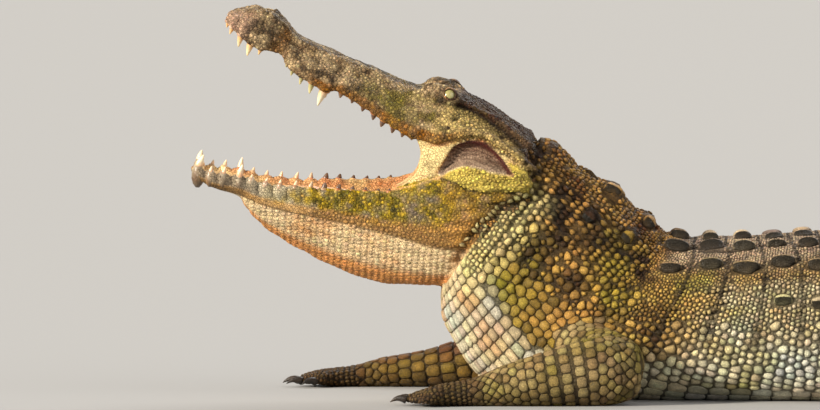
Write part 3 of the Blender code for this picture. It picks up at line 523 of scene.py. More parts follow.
ALGAE_BRIGHT = linear("#dcb61e")
CHEEK_STRAW = linear("#f7d484")


ARCH_OCHRE = linear("#b07a36")

BODY, SKULL, JAW, LINING, LIMB = range(5)


def blend(first, second, share):
    """Mixes rows of colours by a share for each row."""
    share = np.clip(share, 0, 1)[:, None]
    return first * (1 - share) + second * share


def rows_of(colour, count):
    return np.repeat(colour[None, :], count, axis=0)


def body_marking(points, length, share):
    """The hide's colour on neck, trunk and tail, with painted shade in the grooves between the rows of shields;
    share runs round from the back.
    """
    count = len(points)
    down = 1 - np.abs(1 - 2 * (share % 1))  # 0 on the back, 1 under the belly
    patch = rough(points, 0.060, 3)
    spot = rough(points, 0.024, 8)
    speck = noise(points, 0.009, 12)
    back = blend(rows_of(BACK_BEIGE, count), BACK_GREY, 0.20 + 0.9 * patch + 0.5 * speck)
    back = blend(back, FLANK_BROWN, 0.9 * spot - 0.25)
    flank = blend(rows_of(FLANK_GOLD, count), FLANK_BROWN, 0.30 + 1.1 * spot + 0.5 * speck)
    flank = blend(flank, FLANK_GREEN, 0.15 + 1.5 * patch + 1.6 * (down - 0.52))
    belly = blend(rows_of(BELLY_PALE, count), BELLY_BLUE, 0.38 + 1.3 * patch)
    belly = blend(belly, FLANK_GREEN, 1.2 * rough(points, 0.045, 5) - 0.18)
    colour = blend(back, flank, window(down + 0.05 * patch, 0.36, 2, 0.14))
    rear = window(length, 0.42, 9, 0.10)  # further back the pale belly reaches higher
    colour = blend(colour, FLANK_PALE, rear * window(down, 0.42, 2, 0.12) * (0.75 + 0.8 * spot))
    colour = blend(colour, belly, window(down + 0.06 * patch + 0.05 * rear, 0.66, 2, 0.12))
    # painted shade in the groove between the rows of shields, on the upper half of the body
    colour = blend(colour, CREASE_SHADE, 0.95 * groove_between_rows(length, share) * window(down, -1, 0.50, 0.1))
    # the tail is darker above, with broken cross bands
    tail = window(length, TAIL_ROOT + 0.1, 9, 0.4)
    band = 0.5 + 0.5 * np.sin(length * 2 * np.pi / 0.16 + 1.5 * patch)
    colour = blend(colour, DARK_OLIVE_AND_SHADE, tail * window(down, -1, 0.50, 0.2) * (0.15 + 0.45 * band))
    # the neck is golden brown and olive, its chest cream
    neck = window(length, -1, LENGTHS[6] - 0.045, 0.05)
    fresh = window(length, -1, 0.075, 0.03)  # brighter just behind the head
    nape = blend(rows_of(NECK_GOLD, count), NAPE_RED, 0.34 + 1.2 * spot - 0.25 * fresh)
    nape = blend(nape, NECK_BROWN, 0.00 + 1.3 * patch + 1.2 * speck - 0.35 * fresh)
    sides = blend(rows_of(NECK_GOLD, count), NECK_OLIVE, 0.38 + 0.9 * patch + 2.0 * (down - 0.42))
    sides = blend(sides, NECK_BROWN, 0.26 + 1.5 * spot + 0.5 * speck - 1.9 * (down - 0.45) - 0.3 * fresh)
    chest = blend(rows_of(CHEST_CREAM, count), BELLY_BLUE, 0.15 + 0.9 * patch + 1.2 * (0.86 - down))
    chest = blend(chest, CHEST_ORANGE, 1.3 * rough(points, 0.05, 6) - 0.25)
    neck_colour = blend(nape, sides, window(down, 0.28, 2, 0.12))
    neck_colour = blend(neck_colour, chest, window(down + 0.06 * patch, 0.68, 2, 0.08))
    straw = window(length, -1, 0.050, 0.04) * window(down, 0.36, 0.66, 0.10)
    neck_colour = blend(neck_colour, JOWL_STRAW, straw * (0.95 + 0.4 * speck))
    return blend(colour, neck_colour, neck)


EAR_DROP = 0.0130  # how far under the roof the ear's slit lies


def skull_marking(points, place):
    """Snout, brow, cheek and skull table; place is in the skull's frame."""
    count = len(points)
    x, y, z = place.T
    lip, roof = UPPER_LIP(x), ROOF(x)
    high = (z - lip) / np.maximum(roof - lip, 0.01)
    patch, spot, speck = rough(points, 0.035, 11), rough(points, 0.013, 15), noise(points, 0.0055, 17)
    colour = blend(rows_of(SNOUT_BROWN, count), SNOUT_PALE, 0.45 + 1.5 * spot + 0.7 * speck)
    colour = blend(colour, SNOUT_DARK, 0.14 + 1.0 * patch - 1.1 * spot - 0.6 * speck)
    green = window(x, 0.10, 0.27, 0.05) * window(high, -1, 0.75, 0.25)
    colour = blend(colour, SNOUT_GREEN, green * (0.36 + 1.1 * patch + 0.5 * speck))
    drop = roof - z
    straw = window(x, 0.025, 0.160, 0.02) * window(drop, 0.020, 9, 0.006)
    colour = blend(colour, CHEEK_STRAW, straw * (0.80 + 0.9 * spot + 0.5 * speck))
    colour = blend(colour, SNOUT_DARK, straw * (0.9 * noise(points, 0.009, 19) - 0.25))
    table = window(x, 0.010, 0.150, 0.02) * window(drop, -1, EAR_DROP + 0.001, 0.003)
    colour = blend(colour, TABLE_BROWN, table * (0.74 + 0.9 * spot + 0.5 * speck))
    # painted shade in the groove of the ear slit under the skull table
    groove = hump(drop, EAR_DROP + 0.001, 0.0042) * window(x, 0.045, 0.150, 0.015)
    colour = blend(colour, CREASE_SHADE, groove * np.where(np.abs(y) > 0.03, 0.9, 0.0))
    rim = window(high, -1, 0.16, 0.14) * window(x, 0.145, 0.345, 0.03)
    colour = blend(colour, LIP_OCHRE, rim * (0.80 + 0.7 * spot + 0.4 * speck))
    notch = hump(x, 0.424, 0.012) * window(high, -1, 0.70, 0.20)
    colour = blend(colour, LIP_OCHRE, notch * (0.65 + 0.6 * spot))
    arch = window(z - HOLLOW_TOP(x), -9, 0.0035, 0.0030) * window(x, 0.045, 0.150, 0.010)
    colour = blend(colour, ARCH_OCHRE, arch * (0.85 + 0.6 * spot))
    tip = window(x, 0.485, 1, 0.02) * window(high, -1, 0.75, 0.25)
    colour = blend(colour, TIP_PINK, tip * (0.65 + 0.5 * spot))
    inside = np.where(np.abs(y) < 0.93 * UPPER_WIDTH(x), 1.0, 0.0) * window(high, -9, 0.14, 0.03)
    inside *= window(x, 0.150, 9, 0.02)
    return blend(colour, mouth_skin(points), inside)


def mouth_skin(points):
    """Palate, mouth floor and tongue: pink, with cream patches."""
    wide = rows_of(MOUTH_PINK, len(points))
    return blend(wide, MOUTH_CREAM, 0.5 + 0.9 * rough(points, 0.030, 18))


def jaw_marking(points, place):
    """Lower jaw, throat pouch and mouth floor; place is in the lower jaw's frame."""
    count = len(points)
    x, y, z = place.T
    lip, bone, throat, width = LOWER_LIP(x), JAW_BONE(x), THROAT(x), LOWER_WIDTH(x)
    low = (lip - z) / np.maximum(lip - bone, 0.005)  # 0 at the lip, 1 at the jaw bone's edge
    patch, spot, speck = rough(points, 0.040, 21), rough(points, 0.013, 25), noise(points, 0.0055, 27)
    grey = 0.44 + 0.6 * patch + 5.0 * np.maximum(0.36 - x, 1.5 * (x - 0.36)) + 0.4 * speck
    side = blend(rows_of(JAW_PALE, count), JAW_GREY, grey)
    moss = window(x + 0.04 * patch, 0.022, 0.325, 0.06) * window(low + 0.2 * patch, -1, 0.62, 0.22)
    algae = blend(rows_of(JAW_GREEN, count), ALGAE_DARK, 0.22 + 1.3 * spot)
    algae = blend(algae, ALGAE_BRIGHT, 0.30 + 1.2 * speck + 0.4 * patch)
    side = blend(side, algae, moss * (0.75 + 1.3 * spot))
    side = blend(side, JAW_OCHRE, 0.50 * window(x, -1, 0.10, 0.05) * (0.8 + patch))
    side = blend(side, SNOUT_DARK, 0.6 * spot + 0.4 * speck - 0.25)
    side = blend(side, JAW_OCHRE, window(low, 0.74, 1.05, 0.16) * 0.65)
    side = blend(side, SNOUT_DARK, window(low, 0.80, 9, 0.2) * window(x, 0.43, 9, 0.03) * 0.7)
    # painted shade in the seams between the swellings of the front teeth
    side = blend(side, CREASE_SHADE, 0.75 * tooth_seam(x) * window(low, 0.0, 0.50, 0.15))
    side = blend(side, MOUND_GREEN, on_mound(place) * (0.95 + 0.5 * speck))
    # painted shade in the crease under the cheek's mound
    side = blend(side, CREASE_SHADE, fold_line(place))
    drop = (bone - z) / np.maximum(bone - throat, 0.004)
    pouch = blend(rows_of(THROAT_CREAM, count), THROAT_TAN, 0.15 + 0.8 * patch + 0.25 * speck)
    pouch = blend(pouch, THROAT_TAN, 0.95 * window(drop, 0.78, 3, 0.22) * window(x, 0, 0.40, 0.05))
    streak = np.abs(np.sin((z - 0.10 * x) * np.pi / 0.0062 + 1.5 * noise(points, 0.05, 28)))
    pouch = blend(pouch, ARM_MUD, 0.40 * hump(streak, 0, 0.16) * window(drop, 0.02, 0.55, 0.15))
    colour = blend(side, pouch, window(low, 1.06, 99, 0.10) * window(x, -1, 0.44, 0.02))
    inner = window(np.abs(y) / width, -1, 0.84, 0.05) * window(z - lip, -0.026, 0.002, 0.002)
    return blend(colour, mouth_skin(points), inner * window(low, -9, 0.42, 0.05))


def tooth_seam(x):
    """1 in the seams between the swellings of the lower front teeth."""
    places = sorted(place for place, _ in LOWER_TEETH)
    seams = [mix(first, second, 0.5) for first, second in zip(places, places[1:]) if second > 0.32]
    return sum(hump(x, seam, 0.0013) for seam in seams)


FOLD = through(
    (0.0031, 0.0015), (0.0181, 0.0078), (0.0473, 0.0086), (0.0763, 0.0059), (0.0968, 0.0074),
    (0.109, 0.0146), (0.128, 0.0177),
)


def fold_line(place):
    """1 in the crease under the cheek's mound; place is in the lower jaw's frame."""
    x, _, z = place.T
    upper = hump(z - FOLD(x), 0, 0.0017) * window(x, -0.01, 0.135, 0.012)
    lower = hump(z - FOLD(x) + 0.0175, 0, 0.0014) * window(x, -0.01, 0.068, 0.020)
    return np.maximum(upper, 0.75 * lower)


def on_mound(place):
    x, _, z = place.T
    return window(z - FOLD(x), 0.001, 9, 0.003) * window(x, -0.02, 0.122, 0.010)


def lining_marking(points):
    """The skin of the gape: cream in front, a band of arched folds in the hollow behind it."""
    count = len(points)
    place = moved(SKULL_FRAME.inverted(), points)
    x, _, z = place.T
    patch = rough(points, 0.03, 31)
    membrane = blend(rows_of(MOUTH_CREAM, count), MOUTH_PINK, 0.20 + 1.2 * patch)
    edge = hollow_edge(place)
    rise = np.clip((z - HOLLOW_FOOT(x)) / np.maximum(HOLLOW_TOP(x) - HOLLOW_FOOT(x), 0.003), 0, 1)
    stripes = (0.5 + 0.5 * np.sin(rise * 2 * np.pi * FOLD_COUNT + 1.5 * patch)) ** 2
    folds = blend(rows_of(FOLD_PALE, count), MOUTH_BAND, 0.10 + 1.1 * rise)
    folds = blend(folds, MOUTH_MAROON, stripes * (0.40 + 0.55 * rise))
    arch = window(HOLLOW_TOP(x) - z, -1, 0.0048 + 0.0020 * patch, 0.0035)
    folds = blend(folds, MOUTH_MAROON, 0.92 * arch)
    folds = blend(folds, ARCH_OCHRE, 0.9 * window(HOLLOW_FRONT - x, -1, 0.0016, 0.0014))
    return blend(membrane, folds, window(edge, 0.0, 9, 0.002))


HOLLOW_TOP = through(
    (0.030, 0.0145), (0.040, 0.0200), (0.055, 0.0271), (0.0712, 0.0333), (0.0909, 0.0372),
    (0.1124, 0.0310), (0.126, 0.0190), (0.1330, 0.0060), (0.1345, -0.012), (0.136, -0.034),
)
HOLLOW_FOOT = through(
    (0.030, 0.0200), (0.040, 0.0184), (0.0666, 0.0089), (0.0885, 0.0034), (0.1048, -0.0041),
    (0.1187, -0.0203), (0.1280, -0.0345), (0.136, -0.036),
)
HOLLOW_FRONT = 0.1355


FOLD_COUNT = 5.5  # folds between the foot and the arch of the hollow


def hollow_edge(place):
    """How far points of the skull's frame lie inside the hollow at the mouth's corner."""
    x, y, z = place.T
    inside = np.minimum.reduce([HOLLOW_TOP(x) - z, z - HOLLOW_FOOT(x), HOLLOW_FRONT - x])
    return np.where((np.abs(y) > 0.050) & (x > 0.02), inside, -1.0)


def limb_marking(points):
    """Arms and legs: tan and olive above, rust and yellow inside, muddy feet."""
    count = len(points)
    patch, spot, speck = rough(points, 0.045, 41), rough(points, 0.016, 45), noise(points, 0.008, 47)
    high = points[:, 2]
    colour = blend(rows_of(ARM_TAN, count), NECK_OLIVE, 0.25 + 1.2 * patch)
    colour = blend(colour, ARM_MUD, 0.15 + 0.9 * spot + 0.3 * speck)
    far_side = np.where(points[:, 1] > 0.1, 1.0, 0.0)
    lower = blend(rows_of(ARM_RUST, count), ARM_YELLOW, (0.052 - high) / 0.016 + patch)
    colour = blend(colour, lower, 0.85 * far_side * window(points[:, 0], -9, -0.2, 0.05))
    fingers = window(points[:, 0], -9, -0.505, 0.04) * far_side
    fingers += window(points[:, 0], -9, -0.335, 0.04) * (1 - far_side)
    fingers += window(np.abs(points[:, 1]), 0.40, 9, 0.06)
    mud = np.maximum(fingers * 0.8, window(high, -1, 0.010, 0.018) * 0.6)
    return blend(colour, ARM_MUD, mud)


def marking(points, owner, length, share):
    """The colour of the hide at points of every kind."""
    colour = np.zeros((len(points), 3))
    for kind in range(5):
        mine = owner == kind
        if not mine.any():
            continue
        at = points[mine]
        if kind == BODY:
            colour[mine] = body_marking(at, length[mine], share[mine])
        elif kind == SKULL:
            colour[mine] = skull_marking(at, moved(SKULL_FRAME.inverted(), at))
        elif kind == JAW:
            colour[mine] = jaw_marking(at, moved(LOWER_FRAME.inverted(), at))
        elif kind == LINING:
            colour[mine] = lining_marking(at)
        else:
            colour[mine] = limb_marking(at)
    edge = hollow_edge(moved(SKULL_FRAME.inverted(), points))
    hollow = (edge > -0.005) & np.isin(owner, (SKULL, JAW))
    if hollow.any():
        share = window(edge[hollow], -0.002, 9, 0.002)
        colour[hollow] = blend(colour[hollow], lining_marking(points[hollow]), share)
    return colour


# ================================================================ meshes
def finished(name, bm):
    """An object from a bmesh with its faces turned outwards."""
    bmesh.ops.recalc_face_normals(bm, faces=bm.faces)
    if bm.calc_volume(signed=True) < 0:
        bmesh.ops.reverse_faces(bm, faces=bm.faces)
    mesh = bpy.data.meshes.new(name)
    bm.to_mesh(mesh)
    bm.free()
    made = bpy.data.objects.new(name, mesh)
    bpy.context.scene.collection.objects.link(made)
    return made


def wrapped(name, surface, along, around):
    """A closed solid: a grid wrapped once round a surface, its ends drawn to a point each."""
    bm = bmesh.new()
    columns = len(along) + 2
    bmesh.ops.create_grid(bm, x_segments=columns - 1, y_segments=around, size=1)
    shares = np.arange(around) / around
    rings = [surface(np.full(around, place), shares) for place in along]
    rings = [
        np.repeat(rings[0].mean(axis=0)[None], around, axis=0),
        *rings,
        np.repeat(rings[-1].mean(axis=0)[None], around, axis=0),
    ]
    for i, vertex in enumerate(bm.verts):
        vertex.co = rings[i % columns][(i // columns) % around]
    bmesh.ops.remove_doubles(bm, verts=bm.verts, dist=1e-6)
    return finished(name, bm)


def evaluated(target):
    """Applies an object's modifiers."""
    bpy.context.view_layer.update()
    graph = bpy.context.evaluated_depsgraph_get()
    mesh = bpy.data.meshes.new_from_object(target.evaluated_get(graph))
    target.modifiers.clear()
    target.data = mesh
    return target


def combined(target, other, operation):
    step = target.modifiers.new(operation.lower(), "BOOLEAN")
    step.operation, step.object = operation, other
    evaluated(target)
    bpy.data.objects.remove(other)
    return target


def vertices(mesh):
    flat = np.empty(len(mesh.vertices) * 3)
    mesh.vertices.foreach_get("co", flat)
    return flat.reshape(-1, 3)


def set_vertices(mesh, points):
    mesh.vertices.foreach_set("co", np.ascontiguousarray(points, dtype=np.float32).ravel())
    mesh.update()


def vertex_normals(mesh):
    flat = np.empty(len(mesh.vertices) * 3)
    mesh.vertex_normals.foreach_get("vector", flat)
    return flat.reshape(-1, 3)


def paint(mesh, colour):
    """Stores linear colours on the vertices as the attribute that the materials read."""
    layer = mesh.color_attributes.new("tint", "FLOAT_COLOR", "POINT")
    full = np.ones((len(mesh.vertices), 4), np.float32)
    full[:, :3] = np.clip(colour, 0, 1)
    layer.data.foreach_set("color", full.ravel())


def smoothed(mesh, points, rounds, strength):
    """Relaxes points over the mesh's edges; strength is 0 to 1 for each point."""
    edges = np.empty(len(mesh.edges) * 2, int)
    mesh.edges.foreach_get("vertices", edges)
    first, second = edges.reshape(-1, 2).T
    count = np.bincount(edges, minlength=len(points))[:, None]
    points = points.copy()
    for _ in range(rounds):
        total = np.stack([
            np.bincount(first, points[second, axis], len(points))
            + np.bincount(second, points[first, axis], len(points))
            for axis in range(points.shape[1])
        ], axis=1)
        points += strength * (total / np.maximum(count, 1) - points)
    return points


# ================================================================ the hide
MOUTH_CORNER = Vector((-0.4565, 0, 0.355))
GAPE_ROUND = 0.047
LINING_FRONT = ((SKULL_FRAME, 0.183), (LOWER_FRAME, 0.200))


def cut_ahead(target, matrix, front):
    """Takes away what lies ahead of a plane across a jaw, and closes the cut."""
    bm = bmesh.new()
    bm.from_mesh(target.data)
    bmesh.ops.bisect_plane(
        bm,
        geom=bm.verts[:] + bm.edges[:] + bm.faces[:],
        plane_co=matrix @ Vector((front, 0, 0)),
        plane_no=matrix.to_3x3() @ Vector((1, 0, 0)),
        clear_outer=True,
    )
    bmesh.ops.holes_fill(bm, edges=[edge for edge in bm.edges if edge.is_boundary])
    bm.to_mesh(target.data)
    bm.free()


def make_mouth_lining():
    """The flesh at the back of the gape, hollowed towards the throat."""
    height = through((-0.52, 0.105), (-0.38, 0.085), (-0.26, 0.045))
    middle = through((-0.52, 0.370), (-0.38, 0.358), (-0.26, 0.330))
    width = through((-0.52, 0.052), (-0.46, 0.062), (-0.40, 0.080), (-0.33, 0.098), (-0.26, 0.106))
    lean = np.array(SKULL_FRAME.to_3x3() @ Vector((0, 1, 0)))

    def surface(x, share):
        angle = 2 * np.pi * share
        across = powered(np.sin(angle), 0.5) * width(x)
        up = powered(np.cos(angle), 0.5) * height(x)
        return np.stack([x, 0 * x, middle(x) + up], axis=1) + lean * across[:, None]

    lining = wrapped("lining", surface, np.linspace(-0.50, -0.25, 14), 48)
    for matrix, front in LINING_FRONT:
        cut_ahead(lining, matrix, front)
    bm = bmesh.new()
    bmesh.ops.create_cone(
        bm, cap_ends=True, segments=48, radius1=GAPE_ROUND, radius2=GAPE_ROUND, depth=0.4
    )
    turn = Matrix.Translation(MOUTH_CORNER) @ Matrix.Rotation(math.pi / 2, 4, "X")
    bmesh.ops.transform(bm, matrix=turn, verts=bm.verts)
    combined(lining, finished("gape", bm), "DIFFERENCE")
    bm = bmesh.new()
    bmesh.ops.create_uvsphere(bm, u_segments=32, v_segments=16, radius=1)
    hollow = Matrix.Translation((-0.455, 0, 0.362)) @ Matrix.Diagonal((0.105, 0.056, 0.060, 1))
    bmesh.ops.transform(bm, matrix=hollow, verts=bm.verts)
    return combined(lining, finished("hollow", bm), "DIFFERENCE")


def orbit_ridge(side):
    bm = bmesh.new()
    bmesh.ops.create_uvsphere(bm, u_segments=32, v_segments=16, radius=1)
    forward, across, up = EYE_PLACE
    centre = Vector((forward + 0.001, side * (across - 0.009), up - 0.0052))
    shape = SKULL_FRAME @ Matrix.Translation(centre) @ Matrix.Diagonal((0.042, 0.024, 0.0172, 1))
    bmesh.ops.transform(bm, matrix=shape, verts=bm.verts)
    return finished("orbit", bm)


def brow_ridge(side):
    """The ridge that runs from the eye's front corner down the snout."""
    line = ((0.150, 0.038, 0.0610, 0.011, 0.010), (0.202, 0.040, 0.0515, 0.010, 0.009),
            (0.235, 0.031, 0.0405, 0.008, 0.007), (0.290, 0.023, 0.0372, 0.006, 0.005))
    local = limb_surface(line, side)
    return wrapped(
        "brow", lambda t, share: moved(SKULL_FRAME, local(t, share)), np.linspace(-0.11, 1.11, 24), 16
    )


def make_forms():
    """Every plain form of the body, to be merged into one hide."""
    body_along = np.linspace(0.0, BODY_END - 0.012, 260)
    forms = [
        wrapped("body_form", body_surface, body_along, 96),
        wrapped("skull_form", skull_surface, np.linspace(SKULL_REAR, SKULL_TIP, 150), 96),
        wrapped("jaw_form", jaw_surface, np.linspace(LOWER_JAW_REAR, LOWER_JAW_TIP, 150), 96),
        make_mouth_lining(),
    ]
    forms += [make(side) for make in (orbit_ridge, brow_ridge) for side in SIDES.values()]
    past = 0.97 * END_SHARE
    for name, surface, _ in LIMBS:
        forms.append(wrapped(name, surface, np.linspace(-past, 1 + past, 30), 28))
    return forms


def tree_of(points):
    tree = KDTree(len(points))
    for i, point in enumerate(points):
        tree.insert(point, i)
    tree.balance()
    return tree


def surface_grid(surface, along, around):
    u, v = (grid.ravel() for grid in np.meshgrid(along, np.arange(around) / around))
    return surface(u, v), u, v


def samples():
    """Points of every surface with what they belong to: (place, owner, along, share)."""
    grids = [
        (BODY, body_surface, np.linspace(0, BODY_END, 330), 120),
        (SKULL, skull_surface, np.linspace(SKULL_REAR, SKULL_TIP, 130), 90),
        (JAW, jaw_surface, np.linspace(LOWER_JAW_REAR, LOWER_JAW_TIP, 130), 110),
        *((LIMB, surface, np.linspace(-0.1, 1.1, 24), 24) for _, surface, _ in LIMBS),
    ]
    sets = []
    for owner, surface, along, around in grids:
        place, u, v = surface_grid(surface, along, around)
        sets.append((place, np.full(len(u), owner), u, v))
    return [np.concatenate(column) for column in zip(*sets)]


def head_furrow(points):
    """1 in the furrow where the head meets the neck, 0 away from it."""
    ahead = moved(SKULL_FRAME.inverted(), points)[:, 0]
    near = np.nonzero((ahead > -0.10) & (ahead < 0.12))[0]
    neck = surface_grid(body_surface, np.linspace(0, 0.12, 50), 220)[0]
    head = np.concatenate([
        surface_grid(skull_surface, np.linspace(SKULL_REAR, 0.10, 34), 160)[0],
        surface_grid(jaw_surface, np.linspace(LOWER_JAW_REAR, 0.10, 40), 200)[0],
    ])
    apart = [
        np.array([tree.find(points[i])[2] for i in near]) for tree in (tree_of(neck), tree_of(head))
    ]
    furrow = np.zeros(len(points))
    furrow[near] = hump(np.maximum(*apart), 0.0, 0.0060)
    return furrow




VOXEL = 0.0030
BODY_TRIANGLES = 70_000
HEAD_FLOOR = 0.160  # the head's fine skin stays above this height


def make_hide():
    """One closed skin over the whole animal, fine on the head and coarser on the body."""
    forms = make_forms()
    bm = bmesh.new()
    for form in forms:
        bm.from_mesh(form.data)
        bpy.data.objects.remove(form)
    mesh = bpy.data.meshes.new("hide")
    bm.to_mesh(mesh)
    bm.free()
    hide = bpy.data.objects.new("hide", mesh)
    bpy.context.scene.collection.objects.link(hide)
    remesh = hide.modifiers.new("one_skin", "REMESH")
    remesh.mode, remesh.voxel_size = "VOXEL", VOXEL
    evaluated(hide)

    points = vertices(hide.data)
    head = moved(SKULL_FRAME.inverted(), points)
    low = moved(LOWER_FRAME.inverted(), points)
    ahead = np.maximum(head[:, 0], low[:, 0])
    on_head = window(ahead, 0.02, 9, 0.05) * window(points[:, 2], HEAD_FLOOR, 9, 0.02)
    points = smoothed(hide.data, points, 3, 0.5)
    points = smoothed(hide.data, points, 26, (0.55 * (1 - on_head))[:, None])
    set_vertices(hide.data, points)

    fine = (ahead > 0) & (points[:, 2] > HEAD_FLOOR)
    group = hide.vertex_groups.new(name="coarse")
    group.add(np.nonzero(~fine)[0].tolist(), 1.0, "REPLACE")
    group.add(np.nonzero(fine)[0].tolist(), 0.0, "REPLACE")
    hide.data.calc_loop_triangles()
    total = len(hide.data.loop_triangles)
    corners = np.empty(3 * total, np.int32)
    hide.data.loop_triangles.foreach_get("vertices", corners)
    head_triangles = int(fine[corners.reshape(-1, 3)].all(axis=1).sum())
    thin = hide.modifiers.new("thin", "DECIMATE")
    thin.ratio = min(1.0, (head_triangles + BODY_TRIANGLES) / total)
    thin.vertex_group = "coarse"
    thin.vertex_group_factor = 1.0
    evaluated(hide)
    hide.vertex_groups.clear()
    hide.data.calc_loop_triangles()
    print("hide", total, "head", head_triangles, "to", len(hide.data.loop_triangles))
    return hide


# ---------------------------------------------------------------- teeth tables
UPPER_TEETH = (
    (0.507, 0.008), (0.497, 0.010), (0.481, 0.0165), (0.463, 0.0190), (0.446, 0.009),
    (0.403, 0.007), (0.390, 0.009), (0.374, 0.012), (0.357, 0.015), (0.336, 0.0245),
    (0.313, 0.011), (0.293, 0.008), (0.274, 0.010), (0.256, 0.012), (0.239, 0.013),
    (0.222, 0.012), (0.206, 0.010), (0.191, 0.008),
)
LOWER_TEETH = (
    (0.488, 0.0190), (0.470, 0.0090), (0.452, 0.0105), (0.428, 0.0165), (0.410, 0.0075),
    (0.389, 0.0080), (0.368, 0.0085), (0.346, 0.0095), (0.324, 0.0100), (0.303, 0.0130),
    (0.283, 0.0110), (0.262, 0.0090), (0.243, 0.0080), (0.225, 0.0075), (0.208, 0.0070),
)


def eye_frame(side):
    """The eye's own frame: x along the lids towards the snout, y up the lids, z out of the eye."""
    out = Vector((0.10, side * 0.88, 0.46)).normalized()
    ahead = Vector((1, 0, 0.06))
    ahead = (ahead - out * ahead.dot(out)).normalized()
    up = out.cross(ahead) if side < 0 else ahead.cross(out)
    up = up if up.z > 0 else -up
    local = Matrix((ahead, up, out)).transposed().to_4x4()
    local.translation = Vector((EYE_PLACE[0], side * EYE_PLACE[1], EYE_PLACE[2]))
    return SKULL_FRAME @ local


OPENING = (0.0078, 0.0072, 0.0066)  # half length, height of the upper and of the lower lid's edge


def opening_reach(x, y):
    """Below 1 inside the lids' opening, above 1 outside it."""
    half_length, upper, lower = OPENING
    height = np.where(y > 0, upper, lower)
    return np.hypot(x / half_length, y / height)


